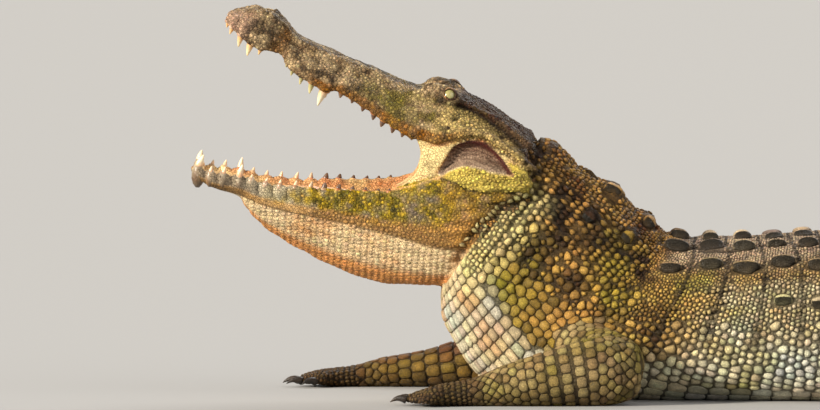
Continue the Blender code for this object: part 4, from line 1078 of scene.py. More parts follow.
def shape_hide(hide, owner, along, share):
    """Moves the hide's points: bone texture, tooth sockets, nostrils, ears, folds and eye sockets."""
    mesh = hide.data
    points, normals = vertices(mesh), vertex_normals(mesh)
    head = moved(SKULL_FRAME.inverted(), points)
    low = moved(LOWER_FRAME.inverted(), points)
    x, y, z = head.T
    push = np.zeros(len(points))

    # the skull: pitted bone under thin skin, rougher on the crown and the snout's top
    on_skull = np.where(owner == SKULL, 1.0, 0.0)
    high = (z - UPPER_LIP(x)) / np.maximum(ROOF(x) - UPPER_LIP(x), 0.01)
    outside = window(high, 0.16, 9, 0.06) + np.where(np.abs(y) > 0.92 * UPPER_WIDTH(x), 1.0, 0.0)
    outside = np.clip(outside, 0, 1) * on_skull
    stretched = head * (0.6, 1.0, 1.0)
    ridges = 1 - 2 * np.abs(noise(stretched, 0.019, 51))
    lumps = rough(stretched, 0.032, 52)
    pits = np.maximum(noise(head, 0.010, 57) - 0.35, 0)
    push += outside * (0.0019 * ridges + 0.0030 * lumps - 0.0044 * pits)
    settled = 0.0042 * window(x, 0.21, 0.43, 0.03) + 0.0028 * window(x, 0.05, 0.14, 0.02)
    push -= on_skull * settled * window(high, 0.70, 9, 0.30)  # room for the scales on the crown
    for place, length in UPPER_TEETH:
        radius = 0.0068 + 0.11 * length
        socket = hump(x, place, radius) * hump(z - UPPER_LIP(x), 0.009, 0.012)
        side_only = window(np.abs(y) / UPPER_WIDTH(x), 0.80, 9, 0.2)
        push += on_skull * side_only * socket * (0.0026 + 0.17 * length)
    # nostrils: a slit each, curved, on the bump at the snout's end
    for side in (-1, 1):
        line = side * 0.0115 + 8.0 * side * (x - 0.468) ** 2 * 6
        slit = hump(y, line, 0.0034) * window(x, 0.460, 0.474, 0.006)
        push -= on_skull * np.where(high > 0.7, 1.0, 0.0) * slit * 0.0070
    rim = hump(np.hypot((x - 0.466) / 1.15, np.abs(y) - 0.0115), 0.0125, 0.0045)
    push += on_skull * np.where(high > 0.6, 1.0, 0.0) * rim * 0.0020
    # ear: a slit under the edge of the skull table, in a groove that runs to the eye's corner
    ear = hump(z - (ROOF(x) - EAR_DROP), 0, 0.0034) * window(x, 0.050, 0.150, 0.012)
    push -= on_skull * np.where(np.abs(y) > 0.03, 1.0, 0.0) * ear * 0.0060

    # the lower jaw: a swelling round every tooth, smooth sides, stretched throat
    on_jaw = np.where(owner == JAW, 1.0, 0.0)
    jx, jy, jz = low.T
    depth = (LOWER_LIP(jx) - jz) / np.maximum(LOWER_LIP(jx) - JAW_BONE(jx), 0.004)
    face = window(np.abs(jy) / LOWER_WIDTH(jx), 0.80, 9, 0.12) * on_jaw
    push -= face * tooth_seam(jx) * window(depth, 0.0, 0.50, 0.15) * 0.0022
    for place, length in LOWER_TEETH:
        radius = 0.0062 + 0.09 * length
        socket = hump(jx, place, radius) * hump(jz - LOWER_LIP(jx), -0.007, 0.013)
        push += face * socket * (0.0026 + 0.08 * length)
    push += face * window(depth, 0.0, 0.9, 0.2) * (0.0014 * rough(low, 0.022, 61))
    pouch = on_jaw * window(depth, 1.06, 99, 0.15)
    pleat = np.sin((jz - 0.10 * (jx - 0.3)) * 2 * np.pi / 0.0165 + 2 * noise(low, 0.06, 63))
    push += pouch * (0.0007 * pleat + 0.0012 * noise(low * (0.5, 1, 1), 0.03, 64))
    crease = hump(depth, 1.06, 0.045) * window(jx, 0.02, 0.42, 0.03)
    push -= on_jaw * crease * 0.0026
    # folds that sweep back from the mouth's corner over the jaw's rear
    sweep = np.sin((jz * 1.0 + 0.22 * jx) * 2 * np.pi / 0.019 + 1.5 * noise(low, 0.05, 66))
    push += face * window(jx, -0.02, 0.105, 0.03) * 0.0014 * sweep
    push -= on_jaw * fold_line(low) * 0.0045
    push += on_jaw * on_mound(low) * 0.0022

    # the hollow at the mouth's corner, with arched folds in it
    inside = np.clip(hollow_edge(head) / 0.011, 0, 1)
    rise = (z - HOLLOW_FOOT(x)) / np.maximum(HOLLOW_TOP(x) - HOLLOW_FOOT(x), 0.003)
    on_side = np.where(np.isin(owner, (SKULL, JAW, LINING)), 1.0, 0.0)
    folds = 0.0013 * np.sin(np.clip(rise, 0, 1) * 2 * np.pi * FOLD_COUNT)
    sunk = on_side * inside * inside * (3 - 2 * inside) * (0.0120 + folds)

    # neck: deep wrinkles behind the jaw; body: a groove between the rows of shields
    on_body = np.where(owner == BODY, 1.0, 0.0)
    down = 1 - np.abs(1 - 2 * share)
    wrinkle = np.sin(along * 2 * np.pi / 0.024 + 3 * noise(points, 0.06, 71))
    nape = window(along, -1, 0.13, 0.06) * window(down, 0.0, 0.56, 0.1)
    push += on_body * nape * (0.0024 * wrinkle + 0.0030 * rough(points, 0.034, 72))
    push += on_body * window(along, -1, 0.26, 0.02) * nape_domes(along, share)
    groove = groove_between_rows(along, share)
    push -= on_body * groove * window(down, -1, 0.56, 0.10) * 0.0040
    push += on_body * 0.0018 * rough(points, 0.07, 73)
    push -= np.where((owner == BODY) | (owner == LIMB), COAT_DEPTH, 0.0008)
    furrow = head_furrow(points)
    crown = window(z, 0.055, 9, 0.020)  # the furrow runs out over the top of the neck
    push -= 0.0070 * furrow * (1 - np.clip(inside, 0, 1)) * (1 - 0.9 * crown)

    points = points + normals * push[:, None]
    inward = np.array(SKULL_FRAME.to_3x3() @ Vector((0, 1, 0)))
    points -= inward * (np.sign(y) * sunk)[:, None]

    # eye sockets: the skin inside the lids' opening sinks behind the eyeball
    for side in (-1, 1):
        local = moved(eye_frame(side).inverted(), points)
        near = (np.linalg.norm(local, axis=1) < 0.030) & (local[:, 2] > 0)
        reach = opening_reach(local[:, 0], local[:, 1])
        limit = 0.0060 + 0.0070 * np.clip(reach - 0.9, 0, 1.4)
        length = np.linalg.norm(local, axis=1)
        inside = near & (reach < 1.6) & (length > limit)
        local[inside] *= (limit / length)[inside][:, None]
        points[inside] = moved(eye_frame(side), local[inside])
    points[:, 2] = np.maximum(points[:, 2], 0.0002)
    set_vertices(mesh, points)
    return furrow


BACK_ROW = 0.050  # length of one row of shields on the back, behind the shoulders
FRONT_ROWS = (0.2149, 0.2892, 0.3576, 0.4264, 0.4890, 0.5421)  # the cut planes fan out here
ROW_LAG = through((0.0, 0.0), (0.05, 0.004), (0.14, 0.025), (0.22, 0.033), (0.5, 0.036))
BACK_EDGES = np.concatenate([FRONT_ROWS, np.arange(FRONT_ROWS[-1] + BACK_ROW, TAIL_ROOT, BACK_ROW)])
BACK_START = FRONT_ROWS[0]


def groove_between_rows(along, share):
    """1 in the furrow between two rows of shields; a row lies further back on the flank."""
    along = along - ROW_LAG(np.minimum(share % 1, 1 - share % 1))
    after = np.clip(np.searchsorted(BACK_EDGES, along), 1, len(BACK_EDGES) - 1)
    edge = np.minimum(np.abs(along - BACK_EDGES[after]), np.abs(along - BACK_EDGES[after - 1]))
    return hump(edge, 0, 0.0040)


def nape_domes(along, share):
    """How high the domes of the neck's shield stand at lengths and shares of the way round."""
    rise = np.zeros(len(along))
    around = np.minimum(share % 1, 1 - share % 1)
    for length, boss_share, half_length, half_width, height in NUCHAL_BOSSES:
        shares, distances = spread_around(body_surface, length)
        aside = np.interp(around, shares, distances) - np.interp(boss_share, shares, distances)
        apart = np.hypot((along - length) / half_length, aside / half_width)
        rise = np.maximum(rise, height * (1 - window(apart, 1.0, 99, 0.95)))
    return rise - 0.0045 * hump(along, 0.218, 0.008) * window(around, -1, 0.14, 0.03)


# ================================================================ scales
TINY, BEAD, PLATE, SHIELD = range(4)
CORNERS = {TINY: 6, BEAD: 8, PLATE: 12, SHIELD: 24}
# rings from the rim inwards: share of the radius, share of the height
RINGS = {
    TINY: ((1.0, -0.5), (0.84, 0.68)),
    BEAD: ((1.0, -0.5), (0.90, 0.55), (0.55, 0.93)),
    PLATE: ((1.0, -0.5), (0.97, 0.60), (0.84, 0.95)),
    SHIELD: (
        (1.0, -0.5), (0.95, 0.50), (0.84, 0.85), (0.68, 0.95), (0.50, 1.0), (0.33, 1.0), (0.16, 1.0)
    ),
}
SQUARENESS = {TINY: 2.6, BEAD: 3.6, PLATE: 9.0, SHIELD: 2.3}


# painted shade: the darkening at the foot of each scale, where it meets its neighbours
RIM_SHADE = 0.30  # how bright a scale's foot is beside its top


class Bed:
    """Gathers where scales grow: each call adds many of one kind."""

    def __init__(self):
        self.columns = {name: [] for name in (
            "place", "ahead", "half_length", "half_width", "height", "keel", "kind", "owner",
            "along", "share", "lot", "patch", "rim",
        )}

    def add(self, place, ahead, **facts):
        """Facts are single numbers or one for each scale: sizes in metres, kind, owner and so on."""
        count = len(place)
        if not count:
            return
        ahead = ahead / np.maximum(np.linalg.norm(ahead, axis=1), 1e-9)[:, None]
        # rim is the brightness of the painted shade at a scale's foot
        rows = {"keel": 0.0, "rim": RIM_SHADE, "place": place, "ahead": ahead, **facts}
        for name, column in self.columns.items():
            value = np.asarray(rows[name], float)
            if value.ndim == 0:
                value = np.full(count, float(value))
            column.append(value)

    def add_on(self, surface, along, share, **facts):
        """Scales at lengths along a surface and shares of the way round it."""
        if len(along):
            ahead = surface(along + 0.004, share) - surface(along - 0.004, share)
            self.add(surface(along, share), ahead, along=along, share=share, **facts)

    def gathered(self):
        return {name: np.concatenate(column) for name, column in self.columns.items()}


def spread_around(surface, place, fine=240):
    """Lengths round the cut at a place, from the top: (shares, distances), for the first half."""
    shares = np.linspace(0, 0.5, fine)
    ring = surface(np.full(fine, place), shares)
    steps = np.linalg.norm(np.diff(ring, axis=0), axis=1)
    return shares, np.concatenate([[0], np.cumsum(steps)])


def lay_rows(bed, surface, places, zone, width, chance, *, jitter=0.0, stagger=True, seed=0,
             half_length, sides=(1, -1), by_share=False, **facts):
    """Rows of scales across a surface.

    zone(place) gives the first and last part of the half outline that the rows cover, as parts
    of its length or, by_share, as shares of the way round; width(place) is how wide a scale is.
    """
    rng = np.random.default_rng(seed)
    for i, place in enumerate(places):
        shares, distances = spread_around(surface, place)
        if by_share:
            first, last = np.interp(zone(place), shares, distances)
        else:
            first, last = (end * distances[-1] for end in zone(place))
        if last <= first:
            continue
        count = max(1, round((last - first) / width(place)))
        pitch = (last - first) / count
        for side in sides:
            offset = 0.25 if stagger and (i + (side > 0)) % 2 else 0.5 if not stagger else 0.75
            spots = first + (np.arange(count) + offset) * pitch
            spots = spots + jitter * pitch * rng.uniform(-1, 1, count)
            keep = rng.uniform(0, 1, count) < chance
            share = np.interp(spots[keep], distances, shares)
            share = share if side > 0 else 1 - share
            along = np.full(len(share), place)
            along = along + jitter * half_length * rng.uniform(-1.2, 1.2, len(share))
            reach = half_length
            if facts["owner"] == BODY:  # rows fan out where the body bends
                ends = surface(along + 0.004, share) - surface(along - 0.004, share)
                reach = half_length * np.clip(np.linalg.norm(ends, axis=1) / 0.008, 0.7, 2.2)
            bed.add_on(
                surface, along, share, half_width=pitch / 2, half_length=reach,
                lot=0.0 if side < 0 else 1.0, **facts,
            )


def scattered(points, spacing, seed):
    """Numbers of points picked in random order, none nearer to another than its spacing."""
    tree = tree_of(points)
    free = np.ones(len(points), bool)
    chosen = []
    for i in np.random.default_rng(seed).permutation(len(points)):
        if free[i]:
            chosen.append(i)
            for _, j, _ in tree.find_range(points[i], spacing[i]):
                free[j] = False
    return np.array(chosen)


def fixed(value):
    return lambda place: value


WHORL_PITCH = (0.052, 0.036)


def whorls():
    places = [TAIL_ROOT]
    while places[-1] < BODY_END - 0.07:
        share = (places[-1] - TAIL_ROOT) / (TAIL_TIP - VENT)
        places.append(places[-1] + mix(*WHORL_PITCH, share))
    return np.array(places)


WHORLS = whorls()
CREST_JOINS = 19
CREST_HEIGHT = through((0, 0.008), (8, 0.020), (CREST_JOINS, 0.036), (28, 0.036), (38, 0.012))
CREST_SHARE = through((0, 0.075), (10, 0.062), (CREST_JOINS - 1, 0.030))
CREST_START = 4
NUCHAL_BOSSES = (  # length, share of the way round, half length, half width, height
    (0.030, 0.030, 0.034, 0.055, 0.0120),
    (0.083, 0.020, 0.011, 0.013, 0.0065),
    (0.121, 0.034, 0.029, 0.034, 0.0140),
    (0.182, 0.032, 0.022, 0.030, 0.0140),
    (0.176, 0.104, 0.021, 0.022, 0.0110),
    (0.118, 0.122, 0.022, 0.021, 0.0090),
)
SHIELD_COLUMNS = (0.026, 0.076, 0.138, 0.215)  # shares of the way round
DORSAL_EDGE = through((0.14, 0.20), (0.24, 0.36), (1.0, 0.37), (1.4, 0.30))  # of the half outline
BELLY_EDGE = through((0.0, 0.62), (0.25, 0.64), (0.45, 0.70), (1.2, 0.72), (1.6, 0.70))


def grow_body_scales(bed):
    """Shields on the back, beads on neck and flanks, plates on chest and belly, whorls on the tail."""
    body = dict(owner=BODY, patch=0.0)

    def rows(places, zone, width, chance, jitter, seed, half_length, height, kind, stagger=True):
        lay_rows(bed, body_surface, places, zone, fixed(width), chance, jitter=jitter, seed=seed,
                 half_length=half_length, height=height, kind=kind, stagger=stagger,
                 rim=0.50 if kind == PLATE else RIM_SHADE, **body)

    def both(length, share, **facts):
        for lot, place in enumerate((1 - share, share)):
            own = dict(facts, lot=2.0 if facts["kind"] == SHIELD else float(lot))
            bed.add_on(body_surface, np.array([length]), np.array([place]), **own, **body)

    for i, (start, stop) in enumerate(zip(BACK_EDGES, BACK_EDGES[1:])):
        for j, share in enumerate(SHIELD_COLUMNS):
            if j == 3 and i < 3:
                continue
            ends = body_surface([start, stop], [share, share])
            reach = min(0.5 * np.linalg.norm(ends[1] - ends[0]), 0.028)
            size = (0.86, 1.0, 1.0, 0.72)[j] * (1 + 0.12 * math.sin(5.0 * i + 2.3 * j))
            both(mix(start, stop, 0.52) + float(ROW_LAG(share)), share + 0.006 * math.sin(3.0 * i + j),
                 half_width=0.0135 * size, half_length=0.86 * reach * size, height=0.0030,
                 keel=(0.0095 if j or i < 3 else 0.0055) * size, kind=SHIELD)
        for spot, half_length, half_width in ((0.250, 0.0115, 0.0070), (0.285, 0.0105, 0.0068)):
            both(mix(start, stop, 0.5 + 0.2 * math.sin(7.0 * i + 40 * spot)) + float(ROW_LAG(spot)), spot,
                 half_width=half_width, half_length=half_length, height=0.0042, kind=BEAD)
    for length, share, half_length, half_width, _ in NUCHAL_BOSSES[2:]:
        both(length, share + 0.012, half_width=0.52 * half_width, half_length=0.58 * half_length,
             height=0.0030, keel=0.0030, kind=SHIELD)
    # granules between the back's shields, growing to beads down the flank
    rows(np.arange(BACK_START, TAIL_ROOT, 0.0052), lambda place: (0.0, DORSAL_EDGE(place)),
         0.0052, 1.0, 0.34, 14, 0.0030, 0.0014, TINY)
    rows(np.arange(LENGTHS[6] - 0.02, TAIL_ROOT, 0.0068), lambda place: (
        DORSAL_EDGE(place) + 0.004, mix(DORSAL_EDGE(place), BELLY_EDGE(place), 0.42)
    ), 0.0066, 1.0, 0.34, 1, 0.0038, 0.0026, TINY)
    rows(np.arange(LENGTHS[6] - 0.03, TAIL_ROOT, 0.0106), lambda place: (
        mix(DORSAL_EDGE(place), BELLY_EDGE(place), 0.43),
        mix(DORSAL_EDGE(place), BELLY_EDGE(place), 0.70),
    ), 0.0104, 1.0, 0.26, 12, 0.0056, 0.0028, TINY)
    rows(np.arange(LENGTHS[6] - 0.03, TAIL_ROOT, 0.0140), lambda place: (
        mix(DORSAL_EDGE(place), BELLY_EDGE(place), 0.71), BELLY_EDGE(place)
    ), 0.0138, 1.0, 0.20, 2, 0.0072, 0.0028, BEAD)
    # the belly's plates
    rows(np.arange(LENGTHS[5] + 0.01, TAIL_ROOT, 0.0250), lambda place: (
        BELLY_EDGE(place) + 0.005, 1.0
    ), 0.0230, 1.0, 0.03, 3, 0.0125, 0.0018, PLATE, stagger=False)
    # the neck: fine beads on the nape, ovals on its sides, plates on chest and throat
    rows(np.arange(0.002, BACK_START, 0.0070), lambda place: (0.0, 0.19), 0.0066, 1.0, 0.36, 4,
         0.0038, 0.0026, TINY)
    rows(np.arange(0.004, BACK_START + 0.02, 0.0112), lambda place: (
        0.195, mix(0.40, 0.36, place / 0.2)
    ), 0.0090, 1.0, 0.30, 4, 0.0060, 0.0036, TINY)
    side_rows = np.arange(0.058, LENGTHS[6] - 0.02, 0.0150)
    side_zone = lambda place: (mix(0.41, 0.37, place / 0.2), 0.50)
    rows(side_rows, side_zone, 0.0150, 0.92, 0.28, 5, 0.0074, 0.0036, BEAD)
    rows(side_rows + 0.0075, side_zone, 0.0078, 0.95, 0.32, 6, 0.0038, 0.0024, TINY)
    rows(side_rows, lambda place: (0.505, 0.635), 0.0145, 1.0, 0.12, 15, 0.0080, 0.0022, PLATE)
    rows(np.arange(0.003, 0.058, 0.0090), lambda place: (0.38, 0.66), 0.0074, 1.0, 0.18, 7,
         0.0056, 0.0026, TINY)
    rows(np.arange(0.012, LENGTHS[5] + 0.008, 0.0205), lambda place: (
        mix(0.665, 0.635, place / 0.2), 1.0
    ), 0.0150, 1.0, 0.05, 8, 0.0105, 0.0022, PLATE, stagger=False)
    # the tail: rings of oblong scales, smaller towards the tip, plates beneath
    for start, stop in zip(WHORLS[:-1], WHORLS[1:]):
        place, pitch = (start + stop) / 2, stop - start
        wide = max(0.012, 0.024 * pitch / 0.05)
        rows([place], fixed((0.15, 0.74)), wide, 1.0, 0, 9, pitch / 2, 0.0026, PLATE)
        rows([place - pitch / 4, place + pitch / 4], fixed((0.75, 1.0)), wide, 1.0, 0, 10, pitch / 4,
             0.0016, PLATE, stagger=False)
        rows([place], fixed((0.0, 0.14)), wide, 1.0, 0, 9, pitch / 2, 0.0022, BEAD, stagger=False)


def grow_head_scales(bed, skin):
    """Small uneven scales scattered over skull and jaw, and fine rows on the throat."""
    points, owner, along, share = (skin[name] for name in ("points", "owner", "along", "share"))
    half_share = np.minimum(share, 1 - share)
    low = moved(LOWER_FRAME.inverted(), points)
    open_skin = ~bare(points)
    rng = np.random.default_rng(80)
    variety = 1 + 0.40 * noise(points, 0.014, 81) + 0.22 * rng.uniform(-1, 1, len(points))
    for kind, first, last, patch, seed in ((SKULL, 0.150, 0.51, 2.0, 82), (JAW, 0.175, 0.337, 1.0, 83)):
        mine = (owner == kind) & open_skin & (half_share > first) & (half_share < last)
        mine &= points[:, 2] > HEAD_FLOOR
        if kind == SKULL:
            mine |= (owner == kind) & open_skin & (along < 0.125) & (half_share > np.where(along < 0.06, 0.0, 0.06))
        if kind == JAW:
            mine &= along + 0.030 * noise(points, 0.011, 84) < SMOOTH_JAW
        at, place = points[mine], along[mine]
        front = window(place, 0.17, 9, 0.04)
        spacing = mix(0.0040, 0.0046, front) * variety[mine]
        tall = mix(0.0008, 0.0004, front) if kind == SKULL else mix(0.0005, 0.0005, front)
        if kind == JAW:
            tall = tall + 0.0006 * on_mound(low[mine])
        picked = scattered(at, spacing, seed)
        forward = np.array((SKULL_FRAME if kind == SKULL else LOWER_FRAME).to_3x3() @ Vector((1, 0, 0)))
        bed.add(
            at[picked], np.repeat(forward[None], len(picked), axis=0),
            half_length=0.84 * spacing[picked], half_width=0.62 * spacing[picked],
            height=tall[picked], kind=TINY, owner=kind, patch=patch, along=place[picked],
            share=share[mine][picked], lot=np.where(at[picked, 1] < 0, 0.0, 1.0),
            rim=mix(0.56, 0.62, front[picked]),
        )
    # shares round the lower jaw: 0 is the mouth floor, 0.5 the throat's middle line
    lay_rows(bed, jaw_surface, np.arange(0.040, 0.425, 0.0094), fixed((0.339, 0.5)), fixed(0.0062), 1.0,
             jitter=0.16, seed=11, half_length=0.0052, height=0.0006, kind=TINY, by_share=True,
             owner=JAW, patch=1.0, rim=0.72)


SMOOTH_JAW = 0.315  # ahead of this the lower jaw's sides carry no scales


def bare(points):
    """True where the head grows no scales: gape, eyes, nostrils and ear slits."""
    place = moved(SKULL_FRAME.inverted(), points)
    x, y, z = place.T
    high = (z - UPPER_LIP(x)) / np.maximum(ROOF(x) - UPPER_LIP(x), 0.01)
    nostril = np.abs(np.abs(y) - 0.0115 - 48 * (x - 0.468) ** 2) < 0.0045
    found = nostril & (x > 0.452) & (x < 0.481) & (high > 0.7)
    found |= (np.abs(z - ROOF(x) + EAR_DROP) < 0.0028) & (x > 0.050) & (x < 0.150) & (np.abs(y) > 0.03)
    found |= hollow_edge(place) > -0.0035
    found |= (fold_line(moved(LOWER_FRAME.inverted(), points)) > 0.40) & (np.abs(y) > 0.04)
    for side in SIDES.values():
        local = moved(eye_frame(side).inverted(), points)
        close = (np.linalg.norm(local, axis=1) < 0.026) & (local[:, 2] > 0)
        found |= close & (opening_reach(local[:, 0], local[:, 1]) < 1.55)
    return found


def grow_limb_scales(bed):
    sizes = {  # pitch along the limb, width round it, height
        "upper_arm": (0.0118, 0.0165, 0.0020), "forearm": (0.0115, 0.0175, 0.0020),
        "hand": (0.0072, 0.0080, 0.0018), "thigh": (0.0125, 0.0130, 0.0028),
        "shank": (0.0120, 0.0135, 0.0028), "foot": (0.0085, 0.0090, 0.0020),
        "finger": (0.0062, 0.0085, 0.0014), "toe": (0.0070, 0.0090, 0.0014),
    }
    for i, (name, surface, _) in enumerate(LIMBS):
        key = next(key for key in sizes if name.startswith(key))
        pitch, width, height = sizes[key]
        if name == "forearm_right":
            pitch, width = 0.0170, 0.0190
        spine = surface(np.linspace(0, 1, 12), np.zeros(12))
        reach = np.linalg.norm(np.diff(spine, axis=0), axis=1).sum()
        rows = np.linspace(-0.06, 1.06, max(3, round(reach * 1.12 / pitch)))
        kind = TINY if pitch < 0.009 else PLATE if width > 0.016 else BEAD
        lay_rows(bed, surface, rows, fixed((0.0, 0.97)), fixed(width), 1.0, jitter=0.10,
                 seed=20 + i, half_length=pitch * 0.52, height=height, kind=kind,
                 rim=0.45 if kind == PLATE else RIM_SHADE,
                 owner=LIMB, patch=3.0 + i)


def outline_radii(found, tree, kind):
    """How far each scale of a kind reaches towards each corner before it meets its neighbours."""
    place, ahead, aside = found["place"], found["ahead"], found["aside"]
    sizes = np.stack([found["half_length"], found["half_width"]], axis=1)
    turns = 2 * np.pi * np.arange(CORNERS[kind]) / CORNERS[kind]
    rays = np.stack([np.cos(turns), np.sin(turns)], axis=1)
    members = np.nonzero(found["kind"] == kind)[0]
    square = SQUARENESS[kind]
    fill = 1.0 if kind == SHIELD else 1.30
    cap = fill * (
        np.abs(rays[None, :, 0] / sizes[members, 0:1]) ** square
        + np.abs(rays[None, :, 1] / sizes[members, 1:2]) ** square
    ) ** (-1 / square)
    power = 24.0 if kind == PLATE else 14.0
    total = cap ** -power
    near_count = 18
    near = np.zeros((len(members), near_count), int)
    for row, i in enumerate(members):
        hits = tree.find_n(place[i], near_count + 1)
        near[row, :len(hits) - 1] = [hit[1] for hit in hits[1:]]
    for column in range(near_count):
        other = near[:, column]
        step = place[other] - place[members]
        distance = np.maximum(np.linalg.norm(step, axis=1), 1e-6)[:, None]
        way, back = (
            np.stack([(step * ahead[who]).sum(axis=1), (step * aside[who]).sum(axis=1)], axis=1) / distance
            for who in (members, other)
        )
        own, theirs = (
            1 / np.sqrt(((ray / sizes[who]) ** 2).sum(axis=1) + 1e-9)
            for ray, who in ((way, members), (back, other))
        )
        reach = distance[:, 0] * own / (own + theirs)
        facing = np.maximum(way @ rays.T, 0)
        total += (facing / np.maximum(reach, 1e-5)[:, None]) ** power
    radii = total ** (-1 / power)
    gap = 0.00025 + (0.012 if kind == PLATE else 0.020) * sizes[members].max(axis=1)[:, None]
    return members, rays, np.maximum(radii - gap, 0.25 * radii)


def settle(bed, hide_tree):
    """Drops the scales onto the hide, and leaves out buried and crowded ones."""
    found = bed.gathered()
    hits = [hide_tree.find_nearest(point) for point in found["place"]]
    on_hide, normal = (np.array([hit[k] for hit in hits]) for k in (0, 1))
    apart = np.array([hit[3] for hit in hits])
    on_body = found["owner"] == BODY
    room = np.where(on_body, nape_domes(found["along"], found["share"]), 0.0)
    keep = apart < 0.0070 + np.abs(room)
    keep &= on_hide[:, 2] > 0.0012
    keep &= on_body | (found["owner"] == LIMB) | ~bare(on_hide)
    found["place"], found["normal"] = on_hide, normal
    found = {name: column[keep] for name, column in found.items()}
    normal = found["normal"]
    flat = found["ahead"] - normal * (found["ahead"] * normal).sum(axis=1)[:, None]
    found["ahead"] = flat / np.maximum(np.linalg.norm(flat, axis=1), 1e-9)[:, None]
    found["aside"] = np.cross(normal, found["ahead"])
    # big scales win over small ones that lie within their own outline
    place, ahead, aside = found["place"], found["ahead"], found["aside"]
    size = np.sqrt(found["half_length"] * found["half_width"])
    tree = tree_of(place)
    alive = np.ones(len(size), bool)
    for i in np.argsort(-size, kind="stable"):
        if not alive[i]:
            continue
        own = np.array([found["half_length"][i], found["half_width"][i]])
        share = 1.0 if found["kind"][i] == SHIELD else 0.86
        for _, j, _ in tree.find_range(place[i], 1.4 * own.max()):
            if j != i and size[j] <= size[i]:
                step = place[j] - place[i]
                ray = np.array([step @ ahead[i], step @ aside[i]]) / (own + 0.35 * size[j])
                if ray @ ray < share * share:
                    alive[j] = False
    return {name: column[alive] for name, column in found.items()}




def chart_place(found, members):
    """Where each scale's root lies on the unwrap of the hide, as (u, v)."""
    patch, along, share = (found[name][members] for name in ("patch", "along", "share"))
    u = np.where(patch == 0, 0.02 + 0.96 * along / BODY_END, 0)
    v = np.where(patch == 0, 0.02 + 0.40 * share, 0)
    u = np.where(patch == 1, 0.02 + 0.44 * (along + 0.02) / 0.53, u)
    v = np.where(patch == 1, 0.46 + 0.22 * share, v)
    u = np.where(patch == 2, 0.52 + 0.44 * (along + 0.02) / 0.55, u)
    v = np.where(patch == 2, 0.46 + 0.22 * share, v)
    limb = np.maximum(patch - 3, 0)
    u = np.where(patch > 2, 0.02 + 0.16 * (limb % 6) + 0.14 * np.clip(along + 0.1, 0, 1.2) / 1.2, u)
    v = np.where(patch > 2, 0.70 + 0.055 * (limb // 6) + 0.048 * share, v)
    return np.stack([u, v], axis=1)


def build_scales(found, hide_tree):
    """Rings of points and colours for every scale, by kind."""
    tree = tree_of(found["place"])
    pieces = {}
    rng = np.random.default_rng(77)
    for kind, corners in CORNERS.items():
        members, rays, radii = outline_radii(found, tree, kind)
        count = len(members)
        place, normal, ahead, aside, owner, share, keel, foot = (
            found[name][members]
            for name in ("place", "normal", "ahead", "aside", "owner", "share", "keel", "rim")
        )
        on_head = np.isin(owner, (SKULL, JAW)) & (foot < 0.7)
        uneven = np.where(on_head, 0.20, 0.07)[:, None]
        radii = radii * (1 - uneven * rng.uniform(0, 1, radii.shape))
        rim = (
            place[:, None]
            + ahead[:, None] * (radii * rays[:, 0])[..., None]
            + aside[:, None] * (radii * rays[:, 1])[..., None]
        )
        hits = [hide_tree.find_nearest(point) for point in rim.reshape(-1, 3)]
        base = np.array([hit[0] for hit in hits]).reshape(count, corners, 3)
        height = found["height"][members] * (1 + np.where(on_head, 0.7, 0.25) * rng.uniform(-1, 1, count))
        own = marking(place, owner, found["along"][members], share)
        bright = np.where(on_head, 0.26, np.where(foot > 0.7, 0.10, 0.28 if kind != PLATE else 0.12))
        own = own * (1 + bright * rng.uniform(-1, 1, count))[:, None]
        own = own * rng.uniform(0.94, 1.06, (count, 3))
        # painted shade: scales near the furrow between head and neck are darkened
        own = own * (1 - 0.65 * found["furrow"][members])[:, None]
        half_width = np.maximum(np.abs(radii * rays[:, 1]).max(axis=1), 1e-4)[:, None]
        half_length = np.maximum(np.abs(radii * rays[:, 0]).max(axis=1), 1e-4)[:, None]
        outer = np.where(share < 0.5, 1.0, -1.0)[:, None]
        rings, tints = [], []
        for reach, lift in RINGS[kind]:
            ring = place[:, None] * (1 - reach) + base * reach
            across = outer * reach * radii * rays[:, 1] / half_width
            down = reach * radii * rays[:, 0] / half_length
            if lift < 0:
                rise = np.full(across.shape, lift * 0.0016)
            else:
                arch = np.sqrt(np.clip(1 - np.abs(down / 0.96) ** 2.2, 0, 1))
                steep = np.where(across > CREST_LINE, 0.50, 0.60)
                ridge = np.exp(-(np.abs(across - CREST_LINE) / steep) ** 1.7) * arch
                rise = lift * height[:, None] + keel[:, None] * ridge
            rings.append(ring + normal[:, None] * rise[..., None])
            # painted shade at each scale's edge: the rim ring takes the foot's brightness and the ring just inside
            # it 0.74, unless the foot is brighter
            edge = foot[:, None] if lift < 0 else np.full((count, 1), 0.74 if reach > 0.83 else 1.0)
            edge = np.maximum(edge, foot[:, None])
            tint = own[:, None] * (edge * np.ones((1, corners)))[..., None]
            # painted shade, partly dark algae: the outer side of each shield's keel, from just past its crest to
            # its edge, is laid almost wholly in the dark colour
            if kind == SHIELD:
                side = window(across, CREST_LINE + 0.08, 9, 0.10) * (1.0 - 0.12 * np.clip(across, 0, 1) ** 1.5)
                dark = (0.98 * side * window(np.abs(down), -1, 0.80, 0.18))[..., None]
                tint = tint * (1 - dark) + DARK_OLIVE_AND_SHADE * dark
            tints.append(tint)
        top = place + normal * (height + 0.94 * keel)[:, None]
        # painted highlight: the top point of each scale is 12 % brighter than its own colour
        centre = own * 1.12
        # painted shade, partly dark algae: the top point of a shield's keel takes the dark colour too
        if kind == SHIELD:
            centre = 0.10 * own + 0.90 * DARK_OLIVE_AND_SHADE
        pieces[kind] = (members, rings, tints, top, centre, rays)
    return pieces


CREST_LINE = -0.12  # where a shield's keel stands across it, towards the back's middle line


